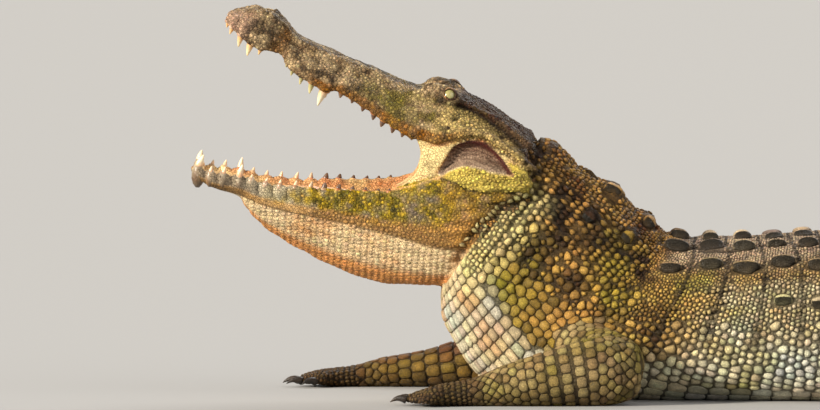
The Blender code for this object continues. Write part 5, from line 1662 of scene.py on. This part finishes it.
def scale_faces(count, corners, ring_count):
    """Faces of one kind's scales: side bands as quads, a fan on top and one face beneath."""
    per = corners * ring_count + 1
    first = np.arange(count)[:, None] * per
    here = np.arange(corners)
    beyond = (here + 1) % corners
    quads = []
    for ring in range(ring_count - 1):
        low, high = ring * corners, (ring + 1) * corners
        quads.append(np.stack([low + here, low + beyond, high + beyond, high + here], axis=1))
    quads = np.concatenate(quads)
    last = (ring_count - 1) * corners
    fan = np.stack([last + here, last + beyond, np.full(corners, per - 1)], axis=1)
    under = here[::-1]
    return (
        (first[:, :, None] + quads[None]).reshape(-1, 4),
        (first[:, :, None] + fan[None]).reshape(-1, 3),
        (first + under[None]),
    )




def joined_scales(found, pieces, name, chosen):
    """One mesh of all the chosen scales, with their tints and their patches on the unwrap."""
    all_points, all_tints, all_uvs, loops, sizes = [], [], [], [], []
    offset = 0
    for kind, (members, rings, tints, top, centre, rays) in pieces.items():
        mine = chosen[members]
        if not mine.any():
            continue
        corners, ring_count, count = CORNERS[kind], len(rings), int(mine.sum())
        points = np.concatenate([ring[mine] for ring in rings] + [top[mine][:, None]], axis=1)
        tint = np.concatenate([ring[mine] for ring in tints] + [centre[mine][:, None]], axis=1)
        root = chart_place(found, members[mine])
        spread = np.concatenate([
            np.repeat(rays[None] * reach, count, axis=0) for reach, _ in RINGS[kind]
        ] + [np.zeros((count, 1, 2))], axis=1)
        uv = root[:, None] + 0.0015 * spread
        for faces in scale_faces(count, corners, ring_count):
            loops.append((faces + offset).ravel())
            sizes.append(np.full(len(faces), faces.shape[1]))
        all_points.append(points.reshape(-1, 3))
        all_tints.append(tint.reshape(-1, 3))
        all_uvs.append(uv.reshape(-1, 2))
        offset += count * (corners * ring_count + 1)
    points, tint, uv = (np.concatenate(rows) for rows in (all_points, all_tints, all_uvs))
    loops, sizes = np.concatenate(loops), np.concatenate(sizes)
    starts = np.concatenate([[0], np.cumsum(sizes)[:-1]])
    mesh = bpy.data.meshes.new(name)
    mesh.vertices.add(len(points))
    mesh.loops.add(len(loops))
    mesh.polygons.add(len(sizes))
    mesh.loops.foreach_set("vertex_index", loops.astype(np.int32))
    mesh.polygons.foreach_set("loop_start", starts.astype(np.int32))
    mesh.polygons.foreach_set("loop_total", sizes.astype(np.int32))
    points[:, 2] = np.maximum(points[:, 2], 0.0001)
    set_vertices(mesh, points)
    mesh.update(calc_edges=True)
    mesh.validate()
    paint(mesh, tint)
    layer = mesh.uv_layers.new(name="OFBake")
    layer.data.foreach_set("uv", uv[loops].astype(np.float32).ravel())
    mesh.shade_smooth()
    made = bpy.data.objects.new(name, mesh)
    bpy.context.scene.collection.objects.link(made)
    mesh.calc_loop_triangles()
    print(name, len(mesh.loop_triangles), "triangles")
    return made


def make_coat(hide, skin):
    """All scales as a few joined meshes; also how near each point of the hide lies to a scale."""
    bm = bmesh.new()
    bm.from_mesh(hide.data)
    hide_tree = BVHTree.FromBMesh(bm)
    bm.free()
    bed = Bed()
    grow_body_scales(bed)
    grow_head_scales(bed, skin)
    grow_limb_scales(bed)
    found = settle(bed, hide_tree)
    furrow = head_furrow(found["place"])
    found = {name: column[furrow < 0.85] for name, column in found.items()}
    found["furrow"] = furrow[furrow < 0.85]
    print("scales", len(found["place"]), {kind: int((found["kind"] == kind).sum()) for kind in CORNERS})
    pieces = build_scales(found, hide_tree)
    down = 1 - np.abs(1 - 2 * found["share"])
    head = np.isin(found["owner"], (SKULL, JAW))
    upper = (found["owner"] == BODY) & (down < 0.60)
    coats = [joined_scales(found, pieces, "scutes_back", found["lot"] == 2)]
    for lot, side in enumerate(SIDES):
        mine = found["lot"] == lot
        for part, chosen in (("head", head), ("upper", upper), ("lower", ~head & ~upper)):
            coats.append(joined_scales(found, pieces, f"scales_{side}_{part}", mine & chosen))
    tree = tree_of(found["place"])
    size = np.maximum(found["half_length"], found["half_width"])
    hits = [tree.find(point) for point in skin["points"]]
    under = np.array([hit[2] for hit in hits]) < 1.35 * size[[hit[1] for hit in hits]]
    return coats, under


# ================================================================ crest, teeth, eyes, claws, tongue
def bridged(bm, rings):
    """Joins each ring of vertices to the next with a band of faces."""
    loops = []
    for ring in rings:
        own = set(ring)
        loops.append({edge for vertex in ring for edge in vertex.link_edges if edge.other_vert(vertex) in own})
    for first, second in zip(loops, loops[1:]):
        bmesh.ops.bridge_loops(bm, edges=list(first | second))


def tapered(name, line, radii, around):
    """A round tube along a line of points, closed at both ends, made by bridging rings."""
    bm = bmesh.new()
    line = [Vector(point) for point in line]
    rings = []
    for i, (point, radius) in enumerate(zip(line, radii)):
        ahead = (line[min(i + 1, len(line) - 1)] - line[max(i - 1, 0)]).normalized()
        made = bmesh.ops.create_circle(
            bm, segments=around, radius=radius, cap_ends=i in (0, len(line) - 1), cap_tris=False
        )
        turn = ahead.to_track_quat("Z", "Y").to_matrix().to_4x4()
        bmesh.ops.transform(bm, matrix=Matrix.Translation(point) @ turn, verts=made["verts"])
        rings.append(made["verts"])
    bridged(bm, rings)
    return finished(name, bm)


def joined(name, pieces):
    bm = bmesh.new()
    for piece in pieces:
        bm.from_mesh(piece.data)
        bpy.data.objects.remove(piece)
    bmesh.ops.recalc_face_normals(bm, faces=bm.faces)
    mesh = bpy.data.meshes.new(name)
    bm.to_mesh(mesh)
    bm.free()
    mesh.shade_smooth()
    made = bpy.data.objects.new(name, mesh)
    bpy.context.scene.collection.objects.link(made)
    return made


REAR_TEETH = 0.322  # behind this the teeth are short knobs


def tooth_size(x, length):
    """The shown length and root radius of a tooth."""
    return (0.74 * length if x < REAR_TEETH else length), 0.0021 + 0.185 * length


def tooth(x, length, side, width_at, lip_at, matrix, down, turn):
    """A slightly curved cone with a rounded tip, leaning a little outwards."""
    length, radius = tooth_size(x, length)
    blunt = 2.6 if x < REAR_TEETH else 1.7
    inset = min(0.9 * width_at(x), width_at(x) - radius * 0.8)
    lift = 0.006 if down > 0 and x > 0.48 else 0.0
    root = Vector((x, side * inset, lip_at(x) + lift - down * 0.005))
    out = Vector((-0.10 + 0.12 * math.sin(turn), side * (0.10 + 0.06 * math.cos(turn)), 0))
    line, radii = [], []
    for t in (0, 0.18, 0.36, 0.54, 0.72, 0.86, 0.95, 1.0):
        bend = 0.14 * length * t * t
        point = root + Vector((-bend, 0, down * (length + 0.005 - lift) * t)) + out * (length * t)
        line.append(matrix @ point)
        radii.append(radius * (1 - t**blunt) * 0.97 + 0.0003 + 0.10 * radius * (t < 1))
    return tapered("tooth", line, radii, 10)


def tooth_row(name, teeth, width_at, lip_at, matrix, down):
    return joined(name, [
        tooth(x, length, side, width_at, lip_at, matrix, down, 2.4 * i + side)
        for i, (x, length) in enumerate(teeth)
        for side in (-1, 1)
    ])


def gum_row(name, teeth, width_at, lip_at, matrix, down):
    """A collar round the root of every tooth; those of the lower jaw are tall pale swellings."""
    collars = []
    for x, length in teeth:
        for side in (-1, 1):
            _, radius = tooth_size(x, length)
            bulb = down > 0 and x > 0.33
            inset = min(0.9 * width_at(x), width_at(x) - radius * 0.8)
            root = Vector((x, side * inset, lip_at(x)))
            if bulb:
                inset = width_at(x) - 0.62 * BULB_WIDTH(x)
                root.y = side * (mix(inset, root.y * side, 0.5 if x > 0.48 else 0.0))
                reach = 0.030 if x > 0.48 else 0.022 if x > 0.42 else 0.013
                top = 0.006 if x > 0.48 else 0.003
                wide = BULB_WIDTH(x)
                steps = ((0.0, 0.30), (0.14, 0.72), (0.36, 1.0), (0.62, 1.0), (0.84, 0.78), (1.0, 0.50))
            else:
                reach, top, wide = 0.005, 0.0021, 1.30 * radius
                steps = ((0.0, 0.76), (0.3, 1.0), (0.5, 1.08), (0.8, 1.0), (0.92, 0.88), (1.0, 0.66))
            line = [matrix @ (root + Vector((0, 0, down * mix(-reach, top, t)))) for t, _ in steps]
            collars.append(tapered("collar", line, [wide * share for _, share in steps], 16))
    return joined(name, collars)


BULB_WIDTH = through((0.33, 0.0046), (0.40, 0.0050), (0.43, 0.0080), (0.47, 0.0072), (0.488, 0.0098))


def crest_blades():
    """The upright scutes of the tail: two rows that join in one, each leaning back."""
    blades = []
    for index in range(CREST_START, len(WHORLS) - 1):
        for side in (-1, 1) if index < CREST_JOINS else (0,):
            start, stop = WHORLS[index], WHORLS[index + 1]
            share = side * float(CREST_SHARE(index)) if side else 0.0
            height = float(CREST_HEIGHT(index)) * 0.97
            front, back = (
                Vector(body_surface([mix(start, stop, place)], [share % 1])[0])
                for place in (0.04, 0.90)
            )
            along = back - front
            across = along.cross(Vector((0, 0, 1))).normalized()
            lean = Vector((0, 0, 1)) + across * side * -0.25
            bm = bmesh.new()
            bmesh.ops.create_grid(bm, x_segments=7, y_segments=5, size=1)
            for vertex in bm.verts:
                u, v = (vertex.co.x + 1) / 2, (vertex.co.y + 1) / 2
                rise = height * math.sin(math.pi * min(1, u * 0.62 + 0.02)) ** 1.15
                rise *= 1 - max(0, u - 0.90) * 2.2
                point = mix(front, back, u + 0.06 * v) + lean * (rise * v)
                vertex.co = point - Vector((0, 0, 0.007)) * (1 - v)
            thick = 0.09 * along.length + 0.001
            bmesh.ops.recalc_face_normals(bm, faces=bm.faces)
            bmesh.ops.solidify(bm, geom=bm.faces, thickness=0.001)
            for vertex in bm.verts:
                offset = (vertex.co - front).dot(across)
                high = min(1, max(0, (vertex.co - front).dot(lean) / height))
                where = min(1, max(0, (vertex.co - front).dot(along) / along.length_squared))
                swell = thick * (1 - high) ** 0.8 * math.sin(math.pi * min(1, where * 0.9 + 0.05))
                vertex.co += across * math.copysign(swell, offset)
            blades.append(finished("blade", bm))
    return joined("tail_crest", blades)


def make_eye(name, side):
    bm = bmesh.new()
    bmesh.ops.create_uvsphere(bm, u_segments=64, v_segments=40, radius=EYE_RADIUS)
    bmesh.ops.transform(bm, matrix=eye_frame(side), verts=bm.verts)
    eye = finished(name, bm)
    local = moved(eye_frame(side).inverted(), vertices(eye.data))
    x, y, z = (local / EYE_RADIUS).T
    front = np.hypot(x, y)
    angle = np.arctan2(y, x)
    streak = 0.5 + 0.5 * np.sin(angle * 38 + 3 * np.sin(angle * 9))
    count = len(local)
    colour = blend(rows_of(linear("#b8ad70"), count), linear("#86804a"), 0.20 + 0.5 * streak)
    colour = blend(colour, linear("#4b3a22"), window(front, 0.72, 9, 0.10))
    slit = hump(x, 0, 0.040 * np.sqrt(np.clip(1 - (y / 0.45) ** 2, 0.01, 1)))
    colour = blend(colour, linear("#141108"), slit * (z > 0) * (np.abs(y) < 0.45) * 0.35)
    colour[z < 0.2] = linear("#c9a98a")
    paint(eye.data, colour)
    eye.data.shade_smooth()
    return eye


def make_lids(name, side):
    """The rim of both lids: it rises off the eyeball, rolls over and sinks into the hide."""
    rings = (  # share of the opening, how far out from the eye's centre, extra spread
        (0.98, EYE_RADIUS - 0.0010, 0.0), (1.00, EYE_RADIUS + 0.0006, 0.0),
        (1.06, EYE_RADIUS + 0.0018, 0.0003), (1.16, EYE_RADIUS + 0.0024, 0.0007),
        (1.34, EYE_RADIUS + 0.0025, 0.0014), (1.62, EYE_RADIUS + 0.0020, 0.0022),
        (1.95, EYE_RADIUS + 0.0008, 0.0030), (2.20, EYE_RADIUS - 0.0024, 0.0034),
    )
    bm = bmesh.new()
    made = []
    half_length, upper, lower = OPENING
    for reach, out, extra in rings:
        circle = bmesh.ops.create_circle(bm, segments=72, radius=1, cap_ends=False)["verts"]
        for vertex in circle:
            angle = math.atan2(vertex.co.y, vertex.co.x)
            height = upper if angle > 0 else lower
            x = math.cos(angle) * (half_length * mix(1, reach, 0.72) + extra)
            y = math.sin(angle) * (height * mix(1, reach, 0.34) + extra)
            y *= 1 - 0.10 * abs(math.cos(angle)) ** 3
            wave = 1 + 0.035 * math.sin(angle * 17) * (reach > 1.1) + 0.025 * math.sin(angle * 29 + 1)
            out_here = EYE_RADIUS + (out - EYE_RADIUS) * wave
            out_here += 0.0008 * max(0.0, math.sin(angle)) * (1.0 < reach < 2.0)
            flat = min(0.985, math.hypot(x, y) / out_here)
            vertex.co = (x, y, out_here * math.sqrt(1 - flat * flat))
        made.append(circle)
    bridged(bm, made)
    bmesh.ops.transform(bm, matrix=eye_frame(side), verts=bm.verts)
    bmesh.ops.solidify(bm, geom=bm.faces, thickness=0.0006)
    lids = finished(name, bm)
    points = vertices(lids.data)
    local = moved(eye_frame(side).inverted(), points)
    reach = opening_reach(local[:, 0], local[:, 1])
    colour = skull_marking(points, moved(SKULL_FRAME.inverted(), points))
    warm = 0.5 + 0.5 * noise(points, 0.0035, 98) + rough(points, 0.010, 96)
    lid = blend(rows_of(linear("#7a4422"), len(points)), linear("#e3b480"), warm)
    # painted shade: the lids' rear corner is laid dark maroon
    lid = blend(lid, linear("#3c1610"), window(-local[:, 0], 0.0035, 9, 0.0050))
    colour = blend(colour, lid, window(reach, 1.08, 1.70, 0.30) * 0.85)
    # painted shade in the crease above the upper lid
    colour = blend(colour, CREASE_SHADE, 0.75 * hump(reach, 1.42, 0.06) * window(local[:, 1], 0.001, 9, 0.002))
    colour = blend(colour, linear("#241309"), window(reach, -1, 1.02, 0.10))
    paint(lids.data, colour)
    lids.data.shade_smooth()
    return lids


def make_claw(name, line):
    """A curved horn at the end of a digit."""
    tip, before = Vector(line[-1][:3]), Vector(line[-2][:3])
    ahead = (tip - before).normalized()
    ahead.z = 0
    ahead.normalize()
    points, radii = [], []
    for t in (0, 0.15, 0.32, 0.5, 0.68, 0.84, 0.95, 1.0):
        lift = 0.0035 * math.sin(math.pi * min(1, t * 0.9)) - 0.0045 * t * t
        points.append(tip + ahead * (t * CLAW_LENGTH - 0.004) + Vector((0, 0, lift)))
        radii.append(0.0056 * (1 - t**1.5) + 0.0005)
    claw = tapered(name, points, radii, 12)
    shape = vertices(claw.data)
    shape[:, 2] = np.maximum(shape[:, 2], 0.0002)
    set_vertices(claw.data, shape)
    claw.data.shade_smooth()
    return claw


def make_tongue():
    """A broad flat tongue that lies on the mouth floor, with low folds across it."""
    bm = bmesh.new()
    bmesh.ops.create_uvsphere(bm, u_segments=48, v_segments=32, radius=1)
    shape = Matrix.Translation((0.314, 0, -0.036)) @ Matrix.Diagonal((0.108, 0.032, 0.016, 1))
    bmesh.ops.transform(bm, matrix=shape, verts=bm.verts)
    tongue = finished("tongue_flesh", bm)
    local = vertices(tongue.data)
    middle = 0.0022 * np.exp(-((local[:, 1] / 0.004) ** 2)) * (local[:, 2] > -0.036)
    ripple = 0.0005 * np.sin(local[:, 0] * 2 * np.pi / 0.009) * (local[:, 2] > -0.036)
    local[:, 2] += ripple - middle
    points = moved(LOWER_FRAME, local)
    set_vertices(tongue.data, points)
    paint(tongue.data, mouth_skin(points))
    tongue.data.shade_smooth()
    return tongue


# ================================================================ materials
def add(tree, kind, links=(), **settings):
    """One node with its settings; links are (input name or number, output socket)."""
    node = tree.nodes.new(kind)
    for name, value in settings.items():
        if name.startswith("in_"):
            node.inputs[name[3:].replace("_", " ")].default_value = value
        else:
            setattr(node, name, value)
    for entry, source in links:
        tree.links.new(source, node.inputs[entry])
    return node


def material(name):
    made = bpy.data.materials.new(name)
    made.use_nodes = True
    tree = made.node_tree
    shader = tree.nodes["Principled BSDF"]
    place = add(tree, "ShaderNodeTexCoord").outputs["Object"]
    tint = add(tree, "ShaderNodeAttribute", attribute_name="tint").outputs["Color"]
    return made, tree, shader, place, tint


def grained(name, roughness, grain, depth, mottle, crack=0.0, specular=0.5, coat=0.0):
    """Hide, horn or flesh: the painted tint broken by mottling, with a fine relief.

    grain is the relief's size in metres, depth its height, mottle how strongly the tint varies
    and crack how dark the lines between its grains are.
    """
    made, tree, shader, place, tint = material(name)
    coarse = add(tree, "ShaderNodeTexNoise", [("Vector", place)], in_Scale=1 / (grain * 9),
                 in_Detail=5.0, in_Roughness=0.62)
    fine = add(tree, "ShaderNodeTexNoise", [("Vector", place)], in_Scale=1 / (grain * 1.6),
               in_Detail=4.0, in_Roughness=0.6)
    cracks = add(tree, "ShaderNodeTexVoronoi", [("Vector", place)], in_Scale=1 / (grain * 2.4),
                 feature="DISTANCE_TO_EDGE")
    darker = add(tree, "ShaderNodeMapRange", [("Value", coarse.outputs["Fac"])],
                 in_From_Min=0.30, in_From_Max=0.70, in_To_Min=1 - mottle, in_To_Max=1 + mottle * 0.6)
    speck = add(tree, "ShaderNodeMapRange", [("Value", fine.outputs["Fac"])],
                in_From_Min=0.35, in_From_Max=0.65, in_To_Min=1 - mottle * 0.7, in_To_Max=1 + mottle * 0.4)
    edge = add(tree, "ShaderNodeMapRange", [("Value", cracks.outputs["Distance"])],
               in_From_Min=0.0, in_From_Max=0.12, in_To_Min=0.0, in_To_Max=1.0)
    line = add(tree, "ShaderNodeMapRange", [("Value", edge.outputs["Result"])],
               in_From_Min=0.0, in_From_Max=1.0, in_To_Min=1 - crack, in_To_Max=1.0)
    both = add(tree, "ShaderNodeMath",
               [(0, darker.outputs["Result"]), (1, speck.outputs["Result"])], operation="MULTIPLY")
    all_three = add(tree, "ShaderNodeMath",
                    [(0, both.outputs["Value"]), (1, line.outputs["Result"])], operation="MULTIPLY")
    colour = add(tree, "ShaderNodeVectorMath",
                 [(0, tint), ("Scale", all_three.outputs["Value"])], operation="SCALE")
    tree.links.new(colour.outputs["Vector"], shader.inputs["Base Color"])
    relief = add(tree, "ShaderNodeMath",
                 [(0, fine.outputs["Fac"]), (1, edge.outputs["Result"])], operation="ADD")
    bump = add(tree, "ShaderNodeBump", [("Height", relief.outputs["Value"])],
               in_Strength=0.9, in_Distance=depth)
    tree.links.new(bump.outputs["Normal"], shader.inputs["Normal"])
    shine = add(tree, "ShaderNodeMapRange", [("Value", fine.outputs["Fac"])],
                in_From_Min=0.3, in_From_Max=0.7, in_To_Min=roughness - 0.10, in_To_Max=roughness + 0.12)
    tree.links.new(shine.outputs["Result"], shader.inputs["Roughness"])
    shader.inputs["Specular IOR Level"].default_value = specular
    shader.inputs["Coat Weight"].default_value = coat
    shader.inputs["Coat Roughness"].default_value = 0.25
    return made


def dress(piece, look, slot, *nodes):
    piece.data.materials.clear()
    piece.data.materials.append(look)
    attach(piece, "root")
    if nodes:
        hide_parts(*nodes)


# ================================================================ the stage
def studio():
    """A pale floor without an end in sight, under a low warm sun and two soft fills."""
    bm = bmesh.new()
    bmesh.ops.create_grid(bm, x_segments=1, y_segments=1, size=60)
    mesh = bpy.data.meshes.new("floor")
    bm.to_mesh(mesh)
    bm.free()
    floor = bpy.data.objects.new("floor", mesh)
    bpy.context.scene.collection.objects.link(floor)
    plain = bpy.data.materials.new("pale_floor")
    plain.use_nodes = True
    shader = plain.node_tree.nodes["Principled BSDF"]
    shader.inputs["Base Color"].default_value = (0.38, 0.38, 0.38, 1)
    shader.inputs["Roughness"].default_value = 0.9
    mesh.materials.append(plain)
    floor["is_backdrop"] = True

    world = bpy.data.worlds.new("studio")
    bpy.context.scene.world = world
    bpy.context.scene.view_settings.view_transform = "Standard"
    world.use_nodes = True
    background = world.node_tree.nodes["Background"]
    background.inputs["Color"].default_value = (0.91, 0.90, 0.89, 1)
    background.inputs["Strength"].default_value = 0.56
    for name, towards, power, spread, colour in (
        ("key", (-0.80, -0.46, 0.36), 5.9, 8, (1.0, 0.91, 0.77)),
        ("fill", (0.75, -0.60, 0.50), 0.80, 60, (1.0, 0.97, 0.93)),
        ("rim", (0.35, 0.80, 0.60), 1.20, 30, (1.0, 0.98, 0.94)),
    ):
        light = bpy.data.lights.new(name, "SUN")
        light.energy, light.angle, light.color = power, math.radians(spread), colour
        lamp = bpy.data.objects.new(name, light)
        lamp.rotation_euler = (-Vector(towards)).to_track_quat("-Z", "Y").to_euler()
        bpy.context.scene.collection.objects.link(lamp)


VIEW_WIDTH = 1.19966  # metres across the picture at the animal's middle plane
VIEW_DISTANCE = 18.0
VIEW_ELEVATION = 2.4
VIEW_CENTRE = Vector((-0.42427, 0.0, 0.2797))


def camera():
    lens = bpy.data.cameras.new("long_lens")
    lens.sensor_width = 36
    lens.lens = 36 * VIEW_DISTANCE / VIEW_WIDTH
    lens.clip_end = 200
    eye = bpy.data.objects.new("long_lens", lens)
    tilt = math.radians(VIEW_ELEVATION)
    look = Vector((0, math.cos(tilt), -math.sin(tilt)))
    eye.location = VIEW_CENTRE - look * VIEW_DISTANCE
    eye.rotation_euler = look.to_track_quat("-Z", "Y").to_euler()
    bpy.context.scene.collection.objects.link(eye)
    bpy.context.scene.camera = eye


# ================================================================ the whole animal
FLESH_NODES = [
    "head_upper", "jaw_lower", "mouth_lining", "neck", "trunk",
    *(f"tail_{i}" for i in range(1, 6)),
    *(f"{part}_{side}" for side in SIDES
      for part in ("upper_arm", "forearm", "hand", "thigh", "shank", "foot")),
]


def tooth_tints(local, lip_at, down):
    """Ivory and amber in front, grey-green further back, then dark brown stumps."""
    x = local[:, 0]
    count = len(x)
    out = np.clip(down * (local[:, 2] - lip_at(x)) / 0.015, 0, 1)
    root, tip = rows_of(linear("#d89a6c"), count), rows_of(linear("#efe2c0"), count)
    if down < 0:
        root = blend(root, linear("#c98432"), window(x, 0.44, 9, 0.01))
        tip = blend(tip, linear("#e6c88c"), window(x, 0.44, 9, 0.01) * 0.6)
        root = blend(root, linear("#7f7440"), window(x, 0.345, 0.415, 0.01))
        tip = blend(tip, linear("#cfc58e"), window(x, 0.345, 0.415, 0.01))
    dark = window(x, -1, REAR_TEETH - 0.02 if down < 0 else 0.30, 0.04)
    root = blend(root, linear("#3b1c12"), dark)
    tip = blend(tip, linear("#6b4630"), dark * 0.9)
    return blend(root, tip, 0.10 + 1.1 * out)


def make_crocodile():
    hide = make_hide()
    points, owners, alongs, shares = samples()
    at = vertices(hide.data)
    tree = tree_of(points)
    near = np.array([tree.find(point)[1] for point in at])
    owner, along, share = owners[near].copy(), alongs[near], shares[near]
    apart = np.linalg.norm(points[near] - at, axis=1)
    head, low = (moved(matrix.inverted(), at) for matrix in (SKULL_FRAME, LOWER_FRAME))
    between = (head[:, 2] < UPPER_LIP(head[:, 0]) + 0.004) & (low[:, 2] > LOWER_LIP(low[:, 0]) - 0.005)
    in_gape = (head[:, 0] > 0.02) & (head[:, 0] < 0.26) & between
    owner[(apart > 0.007) & in_gape & (owner != BODY)] = LINING
    furrow = shape_hide(hide, owner, along, share)
    at = vertices(hide.data)
    coats, under = make_coat(hide, dict(points=at, owner=owner, along=along, share=share))
    colour = marking(at, owner, along, share)
    throat = (owner == JAW) & (np.abs(share - 0.5) < 0.161)
    under |= np.isin(owner, (BODY, LIMB))
    on_head = np.isin(owner, (SKULL, JAW))
    # painted shade: the skin between and under the scales is darkened towards the crease colour, a little on the
    # throat, more on the head, most on body and limbs
    shade = np.where(throat, 0.85, np.where(under, np.where(on_head, 0.56, 0.22), 1.0))[:, None]
    colour = colour * shade + CREASE_SHADE * (1 - shade) * 0.6
    # painted shade in the furrow where the head meets the neck
    colour = blend(colour, CREASE_SHADE, 0.80 * furrow * (owner != LINING))
    paint(hide.data, colour)
    hide.data.shade_smooth()

    # crocodile hide: thin skin over bone, dry, faintly greasy on high spots
    hide_look = grained("crocodile_hide", 0.60, 0.0016, 0.0014, 0.36, crack=0.35, specular=0.26)
    # horny scales: harder and a little glossier than the skin between them
    scale_look = grained("horny_scales", 0.52, 0.0013, 0.0009, 0.34, crack=0.30, specular=0.24)
    # tooth enamel over yellowed dentine
    tooth_look = grained("tooth_enamel", 0.28, 0.0020, 0.00015, 0.10, coat=0.3)
    # wet gum and tongue
    flesh_look = grained("moist_mouth_skin", 0.36, 0.0018, 0.0004, 0.14, coat=0.25)
    # claw horn, worn matt
    horn_look = grained("claw_horn", 0.42, 0.0016, 0.0002, 0.22)
    # cornea: smooth and wet
    eye_look = grained("wet_eye", 0.10, 0.0030, 0.00001, 0.05, coat=1.0)

    dress(hide, hide_look, "hide", *FLESH_NODES)
    for coat in coats:
        dress(coat, scale_look, "hide")
    crest = crest_blades()
    at = vertices(crest.data)
    count = len(at)
    paint(crest.data, blend(rows_of(BACK_GREY, count), DARK_OLIVE_AND_SHADE, 0.55 + rough(at, 0.03, 95)))
    dress(crest, scale_look, "hide")

    for name, teeth, width_at, lip_at, matrix, down in (
        ("upper", UPPER_TEETH, UPPER_WIDTH, UPPER_LIP, SKULL_FRAME, -1),
        ("lower", LOWER_TEETH, LOWER_WIDTH, LOWER_LIP, LOWER_FRAME, 1),
    ):
        row = tooth_row(f"teeth_{name}", teeth, width_at, lip_at, matrix, down)
        local = moved(matrix.inverted(), vertices(row.data))
        paint(row.data, tooth_tints(local, lip_at, down))
        dress(row, tooth_look, "claw")
        gums = gum_row(f"gums_{name}", teeth, width_at, lip_at, matrix, down)
        at = vertices(gums.data)
        local = moved(matrix.inverted(), at)
        base = jaw_marking(at, local) if down > 0 else skull_marking(at, local)
        pale = window(local[:, 0], 0.33, 9, 0.05) * window(local[:, 2] - lip_at(local[:, 0]), -0.010, 9, 0.02)
        base = blend(base, JAW_PALE, pale * (0.08 + 0.8 * rough(at, 0.006, 94)) * (down > 0))
        # the lower jaw's gum swellings turn darker towards the bottom
        drop = window(lip_at(local[:, 0]) - local[:, 2], 0.010, 9, 0.012) * (down > 0)
        base = blend(base, ARM_MUD, drop * (0.45 + 0.8 * rough(at, 0.005, 93)))
        red = 0.55 * window(local[:, 0], -1, 0.36, 0.04) + rough(at, 0.01, 97)
        paint(gums.data, blend(base, linear("#a8542f"), red))
        dress(gums, flesh_look, "mouth_flesh")

    for side_name, side in SIDES.items():
        dress(make_eye(f"eyeball_{side_name}", side), eye_look, "eye", f"eye_{side_name}")
        dress(make_lids(f"lids_{side_name}", side), hide_look, "hide")
        for kind in ("finger", "toe"):
            for i in range(CLAWED):
                node = f"claw_{kind}_{i + 1}_{side_name}"
                claw = make_claw(f"horn_{kind}_{i + 1}_{side_name}", DIGIT_LINES[kind, side_name][i])
                at = vertices(claw.data)
                paint(claw.data, blend(rows_of(linear("#3a2c20"), len(at)), linear("#17110c"),
                                       0.5 + rough(at, 0.008, 99)))
                dress(claw, horn_look, "claw", node)
    dress(make_tongue(), flesh_look, "mouth_flesh", "tongue")


make_crocodile()
studio()
camera()

boxes = {"cad": CAD_BOX, "visual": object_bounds()}
{name: [list(map(float, corner)) for corner in box] for name, box in boxes.items()}
